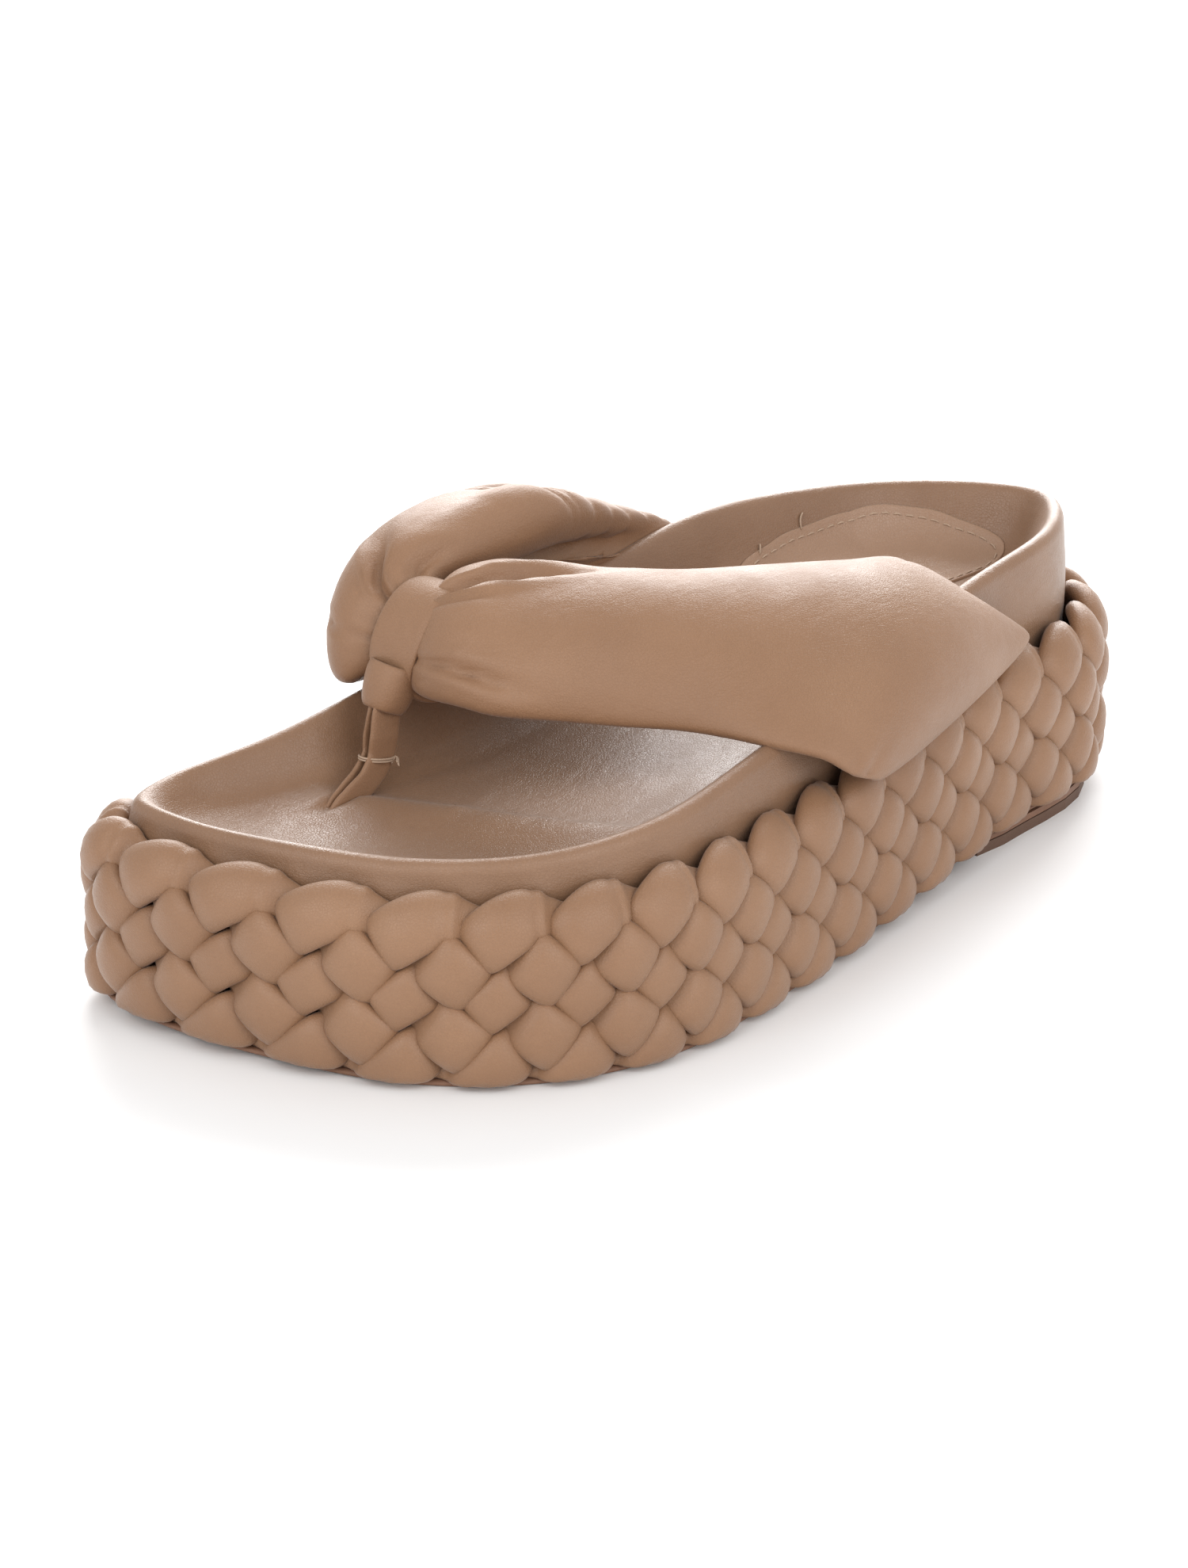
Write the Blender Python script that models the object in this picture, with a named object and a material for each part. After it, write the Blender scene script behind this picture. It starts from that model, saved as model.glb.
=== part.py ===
"""A left flip flop: a thick platform wrapped in a six-strand braid, a dished leather
footbed, two padded straps gathered in a knot, and a thong post between the toes.

The toe points along -Y, the medial side is -X, and the heel piece stands on z = 0.
Lengths below are in millimetres; MM turns them into metres as each solid is made.
"""

import math

import bmesh
import bpy
from mathutils import Matrix, Vector
from mathutils.geometry import interpolate_bezier

COLLECTION = "flip_flop"
CUTTERS = "flip_flop_cutters"
MM = 0.001
GAP = 0.3
# The plan below is drawn from the shoemaker's centre line; this puts the middle of the
# finished shape's box at the origin.
TO_MIDDLE = Vector((1.6, -1.37, 0.0))

# Plan of the platform, round the outside of the braid, from the toe along the lateral side.
PLAN = (
    (0.0, -130.6), (29.0, -117.0), (51.0, -94.0), (61.0, -62.5), (57.0, -22.0),
    (47.0, 28.5), (38.0, 72.0), (30.0, 114.5), (0.0, 141.2), (-43.0, 117.0),
    (-59.0, 67.0), (-57.5, 16.5), (-55.5, -31.0), (-58.5, -76.5), (-64.6, -113.0),
    (-55.0, -134.5), (-30.0, -138.0),
)
SPINE_TOE = (-5.0, -82.0)
SPINE_HEEL = (-11.0, 92.0)
RING = 72

# Heights of the stack.
SOLE_THICK = 3.0
HEEL_RISE = 4.8
RISE_FROM = -30.0
RISE_TO = 92.0
HEEL_FRONT = 64.0
TOE_SPRING = 2.4
TOE_SPRING_FROM = -108.0
TOE_SPRING_REACH = 30.0
TOP_PIECE_THICK = 2.6
BOARD_THICK = 2.0
FOAM_THICK = 5.0
COVER_THICK = 1.2
FLOOR_TOE = 38.0
FLOOR_HEEL = 50.0
CREST_TOE = 47.0
CREST_HEEL = 69.0
ARCH_RAISE = 8.0
# Where along the sandal (or across it, for the arch's side) each of these rises comes in.
FLOOR_RISE = (-60.0, 80.0)
CREST_RISE = (-125.0, 130.0)
ARCH_SIDE = (0.0, -30.0)
ARCH_IN = (-125.0, -30.0)
ARCH_OUT = (120.0, 30.0)
COVER_EDGE_DROP = 16.0

# Distances in from the outside of the braid.
SOLE_INSET = 4.0
HEEL_SLAB_INSET = 4.4
BRAID_INSET = 4.9
WALL_INSET = 12.0
CREST_INSET = 14.5
FLOOR_INSET = 30.0
STRAP_SLIT_INSET = 10.4

# From the rim's crest (1) down to the floor (0), by distance in from the braid's outside.
BOWL_PROFILE = (
    (CREST_INSET, 1.0), (18.0, 0.74), (22.5, 0.27), (FLOOR_INSET, 0.03),
)

# The sock: its middle, and its half width and half length.
SOCK_CENTRE = (-12.0, 70.0)
SOCK_HALF = (25.0, 38.0)
SOCK_THICK = 1.0
SOCK_LIFT = 0.6
SOCK_RINGS = (0.4, 0.72, 1.0)

# The braid.
STRANDS = 6
PITCHES = 36
BRAID_BOTTOM = 6.4
BRAID_TURN_HEIGHT = 34.6
STRAND_WIDE = 7.4
STRAND_NARROW = 4.4
STRAND_THICK = 2.6
STRAND_SWING = 2.45
STATIONS_PER_PITCH = 4
SLOPE_STEP = 0.004

# The straps. In the slit beside the footbed: the strap's y at its lower edge, middle and
# upper edge, and its height. Beyond it: lower edge, middle, upper edge, half thickness.
STRAP_WALL = 1.1
STRAP_SIDES = 12
SLIT_HALF_THICK = 1.0
LATERAL_SLIT = ((2.0, 38.0, 74.0, 32.0), (0.0, 38.0, 78.0, 44.8))
MEDIAL_SLIT = ((-18.0, 12.0, 42.0, 32.0), (-20.0, 12.0, 46.0, 44.8))
LATERAL_ROWS = (
    ((54, -5, 51.5), (42, 38, 54.5), (33, 81, 55.5), 2.2),
    ((54, -11, 55), (43, 34, 65), (33, 71, 64), 3.8),
    ((48, -18, 57.5), (40, 25, 75), (31, 54, 76), 5.0),
    ((36, -28, 57.5), (31, 8, 82), (21, 30, 79), 5.5),
    ((20, -38, 56), (15, -17, 83), (4, 2, 79), 5.5),
    ((5, -52, 57), (-1, -38, 80), (-12, -22, 84), 5.5),
    ((-8, -63, 60), (-12, -52, 76), (-20, -40, 86), 5.0),
    ((-14, -67, 65.5), (-15, -61, 74), (-16, -54.5, 82), 3.6),
    ((-21, -65.8, 68.5), (-21.5, -64, 75.8), (-22.5, -58.8, 83), 2.8),
)
MEDIAL_ROWS = (
    ((-48, -24, 50), (-50, 12, 53), (-51, 48, 57), 2.2),
    ((-50, -31, 53), (-52, 4, 65), (-51, 42, 67), 3.8),
    ((-50, -42, 55), (-53, -9, 76), (-47, 22, 77), 5.0),
    ((-49, -53, 57), (-51, -25, 84), (-42, 0, 84), 5.0),
    ((-47, -62, 59), (-49, -42, 84), (-38, -20, 86.5), 5.0),
    ((-43, -69, 61), (-45, -56, 79), (-35, -38, 87), 4.6),
    ((-37, -70, 64), (-37, -63, 74), (-34, -54, 83), 3.6),
    ((-27, -65.8, 68.5), (-27, -64, 75.8), (-27, -58.8, 83), 2.8),
)

# The knot and the thong.
KNOT = Vector((-24.0, -63.0, 74.0))
POST_HOLE = Vector((-25.0, -86.0, 38.0))
COLLAR = Vector((-20.0, -75.0, 61.5))
SLOT_CENTRE = Vector((-24.0, -84.8, 36.0))
SLOT_SIZE = (9.6, 8.0, 18.0)
ANCHOR_CENTRE = Vector((-25.0, -87.0, 25.4))
ANCHOR_SIZE = (18.0, 12.0, 2.0)
RECESS_CENTRE = Vector((-25.0, -87.0, 27.1))
RECESS_SIZE = (18.6, 12.6, 6.0)
BAND_SEGMENTS = 20
BAND_LIFT = 2.0
BAND_HALF_TALL = 12.5
BAND_HALF_DEEP = 11.0
BAND_WIDE = 10.0
BAND_THICK = 1.6
COLLAR_SEGMENTS = 16
COLLAR_HALF_WIDE = 6.6
COLLAR_HALF_DEEP = 5.0
COLLAR_TALL = 6.5
COLLAR_THICK = 1.5
PLY_WIDE = 8.0
PLY_THICK = 1.2
PLY_BURIED = 10.4
# Up each ply: how far along, half the space between the plies, and the share of its width.
PLY_STATIONS = (
    (0.0, 0.95, 0.85), (0.42, 0.95, 0.85), (0.62, 1.9, 1.0), (0.8, 1.7, 1.0), (1.0, 0.95, 0.9),
)

TAN = (0.36, 0.21, 0.12, 1.0)
MATERIALS = {
    "tan_leather": (TAN, 0.5),
    "brown_leather": ((0.16, 0.075, 0.04, 1.0), 0.6),
    "grey_rubber": ((0.05, 0.045, 0.045, 1.0), 0.7),
    "cork_core": ((0.42, 0.27, 0.16, 1.0), 0.9),
    "fibre_board": ((0.3, 0.2, 0.12, 1.0), 0.9),
    "cream_foam": ((0.75, 0.68, 0.55, 1.0), 0.95),
    "nylon": ((0.6, 0.58, 0.52, 1.0), 0.6),
}


def clear_scene():
    for obj in list(bpy.data.objects):
        bpy.data.objects.remove(obj, do_unlink=True)


def new_collection(name, hidden=False):
    collection = bpy.data.collections.new(name)
    bpy.context.scene.collection.children.link(collection)
    collection.hide_render = hidden
    return collection


def make_material(slot, owner):
    color, rough = MATERIALS[slot]
    material = bpy.data.materials.new(owner + "_" + slot)
    material.use_nodes = True
    shader = material.node_tree.nodes["Principled BSDF"]
    shader.inputs["Base Color"].default_value = color
    shader.inputs["Roughness"].default_value = rough
    material.diffuse_color = color
    return material


def add_solid(name, points, faces, slot, collection, smooth=False):
    """A closed mesh from points in millimetres, with its faces turned outwards."""
    mesh = bpy.data.meshes.new(name)
    mesh.from_pydata([tuple((Vector(p) + TO_MIDDLE) * MM) for p in points], [], faces)
    shape = bmesh.new()
    shape.from_mesh(mesh)
    bmesh.ops.remove_doubles(shape, verts=shape.verts, dist=0.000001)
    bmesh.ops.recalc_face_normals(shape, faces=shape.faces)
    if shape.calc_volume(signed=True) < 0:
        bmesh.ops.reverse_faces(shape, faces=shape.faces)
    bmesh.ops.triangulate(shape, faces=shape.faces, quad_method="FIXED")
    shape.to_mesh(mesh)
    shape.free()
    for polygon in mesh.polygons:
        polygon.use_smooth = smooth
    obj = bpy.data.objects.new(name, mesh)
    collection.objects.link(obj)
    if slot:
        mesh.materials.append(make_material(slot, name))
    return obj


def smoothstep(a, b, value):
    t = min(1.0, max(0.0, (value - a) / (b - a)))
    return t * t * (3.0 - 2.0 * t)


def mix(a, b, t):
    return a + (b - a) * t


# ---------------------------------------------------------------- the plan

def closed_spline(controls, steps):
    """Points of a smooth closed curve through the controls."""
    controls = [Vector((x, y, 0.0)) for x, y in controls]
    count = len(controls)
    points = []
    for i in range(count):
        before, start, end, after = (controls[(i + k - 1) % count] for k in range(4))
        handle_a = start + (end - before) / 6.0
        handle_b = end - (after - start) / 6.0
        points += interpolate_bezier(start, handle_a, handle_b, end, steps + 1)[:-1]
    return points


def spaced(points, count):
    """The closed polyline again, with its points evenly spaced, starting at the toe."""
    first = min(range(len(points)), key=lambda i: points[i].y)
    points = points[first:] + points[:first]
    loop = points + [points[0]]
    lengths = [0.0]
    for a, b in zip(loop, loop[1:]):
        lengths.append(lengths[-1] + (b - a).length)
    result = []
    index = 0
    for k in range(count):
        target = lengths[-1] * k / count
        while lengths[index + 1] < target:
            index += 1
        t = (target - lengths[index]) / (lengths[index + 1] - lengths[index])
        result.append(loop[index].lerp(loop[index + 1], t))
    return result, lengths[-1]


FINE_PLAN = closed_spline(PLAN, 24)


def plan_ring(count):
    """Evenly spaced points round the braid's outside, and the outward direction at each."""
    points, length = spaced(FINE_PLAN, count)
    outward = []
    for i in range(count):
        along = (points[(i + 1) % count] - points[i - 1]).normalized()
        outward.append(Vector((along.y, -along.x, 0.0)))
    return points, outward, length


def ring_at(inset, height):
    """A ring inside the plan; height is a function of the ring's point.

    Past the wall the points head for the footbed's middle line, so that no corner folds."""
    points, outward, _ = plan_ring(RING)
    ring = []
    for point, out in zip(points, outward):
        placed = point - out * min(inset, WALL_INSET)
        y = min(max(placed.y, SPINE_TOE[1]), SPINE_HEEL[1])
        share = (y - SPINE_TOE[1]) / (SPINE_HEEL[1] - SPINE_TOE[1])
        inward = Vector((mix(SPINE_TOE[0], SPINE_HEEL[0], share), y, 0.0)) - placed
        placed += inward.normalized() * max(0.0, inset - WALL_INSET)
        placed.z = height(placed)
        ring.append(placed)
    return ring


def edge_point(side, y, inset, z):
    """A point of the inset plan, z above the sole, on the lateral (+1) or medial (-1) side."""
    points, outward, _ = plan_ring(RING * 4)
    candidates = [p - o * inset for p, o in zip(points, outward) if o.x * side > 0.2]
    nearest = min(candidates, key=lambda p: abs(p.y - y))
    return Vector((nearest.x, y, z + sole_bottom(nearest)))


# ---------------------------------------------------------------- heights over the plan

def sole_bottom(point):
    toe = max(0.0, TOE_SPRING_FROM - point.y) / TOE_SPRING_REACH
    heel = HEEL_RISE * smoothstep(RISE_FROM, RISE_TO, point.y)
    return TOE_SPRING * toe * toe + heel


def sole_top(point):
    return sole_bottom(point) + SOLE_THICK


def floor_height(point):
    """The middle of the footbed, from the toes to the heel seat."""
    return mix(FLOOR_TOE, FLOOR_HEEL, smoothstep(*FLOOR_RISE, point.y))


def crest_height(point):
    """The rolled rim: low round the toes, high round the heel, raised by the arch."""
    medial = smoothstep(*ARCH_SIDE, point.x)
    raise_here = smoothstep(*ARCH_IN, point.y) * smoothstep(*ARCH_OUT, point.y)
    base = mix(CREST_TOE, CREST_HEEL, smoothstep(*CREST_RISE, point.y))
    return base + ARCH_RAISE * medial * raise_here


def above(height, extra):
    return lambda point: height(point) + extra


def between(low, high, t):
    return lambda point: mix(low(point), high(point), t)


# ---------------------------------------------------------------- lofts through rings

def strip_cap(ring_start, count, points, faces, height):
    """Closes a ring with strips across it, each with a middle point at this height."""
    middles = {}
    for k in range(1, count // 2):
        middle = (points[ring_start + k] + points[ring_start + count - k]) / 2.0
        middle.z = height(middle)
        middles[k] = len(points)
        points.append(middle)
    last = count // 2 - 1
    for k in range(1, last):
        a, b = ring_start + k, ring_start + k + 1
        c, d = ring_start + count - k - 1, ring_start + count - k
        faces.append((a, b, middles[k + 1], middles[k]))
        faces.append((middles[k], middles[k + 1], c, d))
    faces.append((ring_start, ring_start + 1, middles[1]))
    faces.append((ring_start, middles[1], ring_start + count - 1))
    end = ring_start + count // 2
    faces.append((end, middles[last], ring_start + last))
    faces.append((end, ring_start + count - last, middles[last]))


def ring_solid(name, rings, low_height, high_height, slot, collection):
    """A solid through rings, capped across its first and its last ring."""
    count = len(rings[0])
    points = [p for ring in rings for p in ring]
    faces = []
    for r in range(len(rings) - 1):
        for k in range(count):
            a, b = r * count + k, r * count + (k + 1) % count
            faces.append((a, b, b + count, a + count))
    strip_cap(0, count, points, faces, low_height)
    strip_cap((len(rings) - 1) * count, count, points, faces, high_height)
    return add_solid(name, points, faces, slot, collection)


# ---------------------------------------------------------------- the platform

def make_outsole(collection):
    rings = [ring_at(SOLE_INSET, sole_bottom), ring_at(SOLE_INSET, sole_top)]
    ring_solid("outsole", rings, sole_bottom, sole_top, "brown_leather", collection)


def heel_slab(name, low, high, slot, collection):
    """The part of the sole's plan behind HEEL_FRONT, between two heights given by place."""
    ring = [p for p in ring_at(HEEL_SLAB_INSET, lambda point: 0.0) if p.y > HEEL_FRONT + 1.0]
    half = [(ring[0].x, HEEL_FRONT)] + [(p.x, p.y) for p in ring] + [(ring[-1].x, HEEL_FRONT)]
    count = len(half)
    corners = [Vector((x, y, 0.0)) for x, y in half]
    points = [Vector((p.x, p.y, height(p))) for height in (low, high) for p in corners]
    faces = [tuple(range(count)), tuple(range(count, 2 * count))]
    for k in range(count):
        n = (k + 1) % count
        faces.append((k, n, n + count, k + count))
    add_solid(name, points, faces, slot, collection)


def make_core(collection):
    low = above(sole_top, GAP)
    high = above(floor_height, -(COVER_THICK + FOAM_THICK + BOARD_THICK + 3 * GAP))
    inset = WALL_INSET + COVER_THICK + GAP
    rings = [ring_at(inset, low), ring_at(inset, high)]
    return ring_solid("platform_core", rings, low, high, "cork_core", collection)


def make_board(collection):
    low = above(floor_height, -(COVER_THICK + FOAM_THICK + BOARD_THICK + 2 * GAP))
    high = above(floor_height, -(COVER_THICK + FOAM_THICK + 2 * GAP))
    inset = WALL_INSET + COVER_THICK + GAP
    rings = [ring_at(inset, low), ring_at(inset, high)]
    return ring_solid("insole_board", rings, low, high, "fibre_board", collection)


def bowl_rings(drop, shrink):
    """The footbed's top, from the rim's outer side over the crest to its floor."""
    crest = above(crest_height, -drop)
    floor = above(floor_height, -drop)
    rings = [
        ring_at(WALL_INSET + shrink, above(crest_height, -4.0 - 0.6 * drop)),
        ring_at(WALL_INSET + 0.8 + 0.8 * shrink, above(crest_height, -1.4 - 0.8 * drop)),
    ]
    for inset, share in BOWL_PROFILE:
        rings.append(ring_at(inset, between(floor, crest, share)))
    return rings


def make_footbed_foam(collection):
    low = above(floor_height, -(COVER_THICK + FOAM_THICK + GAP))
    drop = COVER_THICK + GAP
    rings = [ring_at(WALL_INSET + drop, low)] + bowl_rings(drop, drop)
    floor = above(floor_height, -drop)
    return ring_solid("footbed_foam", rings, low, floor, "cream_foam", collection)


def make_footbed_cover(collection):
    """The leather over the foam: an upper skin, a lower skin, and an edge below the rim."""
    edge = above(floor_height, -COVER_EDGE_DROP)
    outer = [ring_at(WALL_INSET, edge)] + bowl_rings(0.0, 0.0)
    inner = [ring_at(WALL_INSET + COVER_THICK, edge)] + bowl_rings(COVER_THICK, COVER_THICK)
    rings = outer[::-1] + inner
    low = above(floor_height, -COVER_THICK)
    return ring_solid("footbed_cover", rings, floor_height, low, "tan_leather", collection)


def bowl_height(point):
    """The footbed's top at any point, from how far it lies inside the plan."""
    inset = min((Vector((point.x, point.y, 0.0)) - edge).length for edge in FINE_PLAN)
    low, high = floor_height(point), crest_height(point)
    steps = BOWL_PROFILE + ((FLOOR_INSET + 12.0, 0.0),)
    for (near, above_near), (far, above_far) in zip(steps, steps[1:]):
        if inset < far:
            share = max(0.0, (inset - near) / (far - near))
            return mix(low, high, mix(above_near, above_far, share))
    return low


def make_heel_pad(collection):
    """The sock: a thin leather pad that follows the heel seat and its sides."""
    count = 32
    low = above(bowl_height, SOCK_LIFT)
    high = above(bowl_height, SOCK_LIFT + SOCK_THICK)
    rings = []
    outwards = [(size, low) for size in SOCK_RINGS]
    inwards = [(size, high) for size in reversed(SOCK_RINGS)]
    for size, height in outwards + inwards:
        ring = []
        for k in range(count):
            turn = 2.0 * math.pi * k / count
            x = SOCK_CENTRE[0] + size * SOCK_HALF[0] * math.sin(turn)
            y = SOCK_CENTRE[1] - size * SOCK_HALF[1] * math.cos(turn)
            point = Vector((x, y, 0.0))
            point.z = height(point)
            ring.append(point)
        rings.append(ring)
    ring_solid("heel_pad", rings, low, high, "tan_leather", collection)


# ---------------------------------------------------------------- the braid

def strand_state(cycle):
    """Height fraction, and the swing from over (+1) to under (-1), at this part of a cycle.

    One cycle is six pitches: up across the band in three, down again in three.
    Crossings are half a pitch apart, and a turn at an edge takes a whole pitch."""
    pitch = (cycle % 1.0) * 6.0
    fraction = pitch / 3.0 if pitch < 3.0 else 2.0 - pitch / 3.0
    half = pitch % 3.0
    side = 1.0 if pitch < 3.0 else -1.0
    if half < 0.5:
        swing = side * math.sin(math.pi * half)
    elif half > 2.5:
        swing = side * math.sin(math.pi * (3.0 - half))
    else:
        swing = side * math.cos(2.0 * math.pi * (half - 0.5))
    return fraction, swing


def make_strand(number, collection):
    """A ribbon: wide and proud where it passes over, narrow where it passes under."""
    stations = PITCHES * STATIONS_PER_PITCH
    plan, outward, length = plan_ring(stations)
    shift = number / STRANDS
    points = []
    for k in range(stations):
        cycle = k / (6.0 * STATIONS_PER_PITCH) + shift
        fraction, swing = strand_state(cycle)
        ahead, _ = strand_state(cycle + SLOPE_STEP)
        behind, _ = strand_state(cycle - SLOPE_STEP)
        slope = (ahead - behind) / (2.0 * SLOPE_STEP) * BRAID_TURN_HEIGHT / (6.0 * length / PITCHES)
        angle = math.atan(slope)
        wide = mix(STRAND_NARROW, STRAND_WIDE, smoothstep(-0.5, 0.9, swing))
        centre = plan[k] - outward[k] * (BRAID_INSET - STRAND_SWING * swing)
        centre.z = sole_bottom(centre) + BRAID_BOTTOM + BRAID_TURN_HEIGHT * fraction
        along = Vector((-outward[k].y, outward[k].x, 0.0))
        across = along * -math.sin(angle) + Vector((0.0, 0.0, 1.0)) * math.cos(angle)
        depth = outward[k] * STRAND_THICK / 2.0
        points += [
            centre + across * wide / 2.0, centre + depth,
            centre - across * wide / 2.0, centre - depth,
        ]
    faces = []
    for k in range(stations):
        for side in range(4):
            a, b = 4 * k + side, 4 * k + (side + 1) % 4
            c, d = (a + 4) % len(points), (b + 4) % len(points)
            faces.append((a, b, d, c))
    add_solid("braid_strand_%d" % (number + 1), points, faces, "tan_leather", collection)


# ---------------------------------------------------------------- the straps

def strap_stations(side):
    """Each station: lower edge, middle, upper edge, half thickness; from the slit to the knot."""
    rows, slits = (LATERAL_ROWS, LATERAL_SLIT) if side > 0 else (MEDIAL_ROWS, MEDIAL_SLIT)
    slit = [
        tuple(edge_point(side, y, STRAP_SLIT_INSET, z) for y in (y_low, y_mid, y_high)) + (SLIT_HALF_THICK,)
        for y_low, y_mid, y_high, z in slits
    ]
    return slit + [(Vector(a), Vector(b), Vector(c), half) for a, b, c, half in rows]


def arc_point(low, middle, high, t):
    """A quadratic through the three points of a station."""
    a = (1.0 - t) * (1.0 - 2.0 * t)
    b = 4.0 * t * (1.0 - t)
    c = t * (2.0 * t - 1.0)
    return low * a + middle * b + high * c


def strap_loop(stations, index, shrink, sides):
    """The closed section of the strap at one station, shrunk by a wall's thickness."""
    low, middle, high, half = stations[index]
    before = stations[max(0, index - 1)]
    after = stations[min(len(stations) - 1, index + 1)]
    width = (high - low).length
    margin = shrink / width
    loop = []
    for k in range(sides):
        turn = 2.0 * math.pi * k / sides
        t = 0.5 - 0.5 * math.cos(turn)
        t = margin + (1.0 - 2.0 * margin) * t
        here = arc_point(low, middle, high, t)
        along = arc_point(*after[:3], t) - arc_point(*before[:3], t)
        across = arc_point(low, middle, high, t + 0.02) - arc_point(low, middle, high, t - 0.02)
        normal = along.cross(across).normalized()
        swell = (half - shrink) * math.sin(turn)
        loop.append(here + normal * swell)
    return loop


def loop_tube(loops, points, faces):
    start = len(points)
    sides = len(loops[0])
    for loop in loops:
        points += loop
    for r in range(len(loops) - 1):
        for k in range(sides):
            a, b = start + r * sides + k, start + r * sides + (k + 1) % sides
            faces.append((a, b, b + sides, a + sides))
    return start


def join_ends(first, second, sides, faces):
    for k in range(sides):
        n = (k + 1) % sides
        faces.append((first + k, first + n, second + n, second + k))


def make_strap(name, side, collection):
    """A padded strap: a leather sleeve, open at both ends, round a foam strip."""
    stations = strap_stations(side)
    sides = STRAP_SIDES
    count = len(stations)
    outer = [strap_loop(stations, i, 0.0, sides) for i in range(count)]
    inner = [strap_loop(stations, i, STRAP_WALL, sides) for i in range(2, count)]
    points, faces = [], []
    a = loop_tube(outer[2:], points, faces)
    b = loop_tube(inner, points, faces)
    last = (count - 3) * sides
    join_ends(a + last, b + last, sides, faces)
    root = loop_tube(outer[:2], points, faces)
    join_ends(root + sides, a, sides, faces)
    floor = list(range(b, b + sides))
    faces.append(tuple(floor))
    faces.append(tuple(range(root, root + sides)))
    add_solid(name + "_cover", points, faces, "tan_leather", collection, smooth=True)
    shrink = STRAP_WALL + 3.0 * GAP
    filling = [strap_loop(stations, i, shrink, sides) for i in range(4, count - 1)]
    points, faces = [], []
    start = loop_tube(filling, points, faces)
    faces.append(tuple(range(start, start + sides)))
    faces.append(tuple(range(len(points) - sides, len(points))))
    add_solid(name + "_padding", points, faces, "cream_foam", collection, smooth=True)


# ---------------------------------------------------------------- the thong

def ribbon(name, path, widths, thick, wide_axis, slot, collection, closed=False):
    """A flat strip along a path; wide_axis is the direction of its width."""
    count = len(path)
    points, faces = [], []
    for i, here in enumerate(path):
        if closed:
            along = path[(i + 1) % count] - path[i - 1]
        else:
            along = path[min(count - 1, i + 1)] - path[max(0, i - 1)]
        across = (wide_axis - along * (wide_axis.dot(along) / along.length_squared)).normalized()
        depth = along.cross(across).normalized() * thick / 2.0
        half = across * widths[i] / 2.0
        points += [here + half + depth, here - half + depth, here - half - depth, here + half - depth]
    spans = count if closed else count - 1
    for i in range(spans):
        for k in range(4):
            a, b = 4 * i + k, 4 * i + (k + 1) % 4
            c, d = (a + 4) % len(points), (b + 4) % len(points)
            faces.append((a, b, d, c))
    if not closed:
        faces.append((0, 1, 2, 3))
        faces.append(tuple(range(4 * count - 4, 4 * count)))
    return add_solid(name, points, faces, slot, collection)


def make_knot_band(collection):
    """A loop of leather over the gathered ends of both straps."""
    up = Vector((-0.12, 0.42, 0.9)).normalized()
    front = Vector((0.0, -0.9, 0.42)).normalized()
    path = []
    for k in range(BAND_SEGMENTS):
        turn = 2.0 * math.pi * k / BAND_SEGMENTS
        rise = BAND_LIFT + BAND_HALF_TALL * math.sin(turn)
        path.append(KNOT + up * rise + front * BAND_HALF_DEEP * math.cos(turn))
    wide = Vector((1.0, 0.1, 0.0)).normalized()
    widths = [BAND_WIDE] * BAND_SEGMENTS
    ribbon("knot_band", path, widths, BAND_THICK, wide, "tan_leather", collection, closed=True)


def make_collar(collection):
    """The small loop that draws the band and the post together."""
    axis = (KNOT - POST_HOLE).normalized()
    side = Vector((1.0, 0.0, 0.0))
    front = axis.cross(side).normalized()
    side = front.cross(axis).normalized()
    path = []
    for k in range(COLLAR_SEGMENTS):
        turn = 2.0 * math.pi * k / COLLAR_SEGMENTS
        sideways = side * COLLAR_HALF_WIDE * math.cos(turn)
        path.append(COLLAR + sideways + front * COLLAR_HALF_DEEP * math.sin(turn))
    widths = [COLLAR_TALL] * COLLAR_SEGMENTS
    ribbon("knot_collar", path, widths, COLLAR_THICK, axis, "tan_leather", collection, closed=True)


def make_post(collection):
    """Two plies of leather: together at the collar and in the hole, apart between."""
    wide = Vector((1.0, 0.15, 0.0)).normalized()
    bottom = POST_HOLE + Vector((0.0, -1.0, -PLY_BURIED))
    for name, side in (("toe_post_front", -1.0), ("toe_post_back", 1.0)):
        path, widths = [], []
        for t, spread, width in PLY_STATIONS:
            middle = bottom.lerp(COLLAR, t)
            path.append(middle + Vector((0.0, side * spread, 0.0)))
            widths.append(PLY_WIDE * width)
        ribbon(name, path, widths, PLY_THICK, wide, "tan_leather", collection)


def block(name, centre, size, slot, collection):
    """An upright box about a centre."""
    mesh = bpy.data.meshes.new(name)
    shape = bmesh.new()
    place = Matrix.Translation((centre + TO_MIDDLE) * MM) @ Matrix.Diagonal((*(Vector(size) * MM), 1.0))
    bmesh.ops.create_cube(shape, size=1.0, matrix=place)
    shape.to_mesh(mesh)
    shape.free()
    obj = bpy.data.objects.new(name, mesh)
    collection.objects.link(obj)
    if slot:
        mesh.materials.append(make_material(slot, name))
    return obj


def make_cutter(name, centre, size, cutters):
    cutter = block(name, centre, size, None, cutters)
    cutter.hide_render = True
    cutter.display_type = "WIRE"
    return cutter


def cut(obj, cutter):
    modifier = obj.modifiers.new("cut_" + cutter.name, "BOOLEAN")
    modifier.operation = "DIFFERENCE"
    modifier.solver = "EXACT"
    modifier.object = cutter


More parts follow.
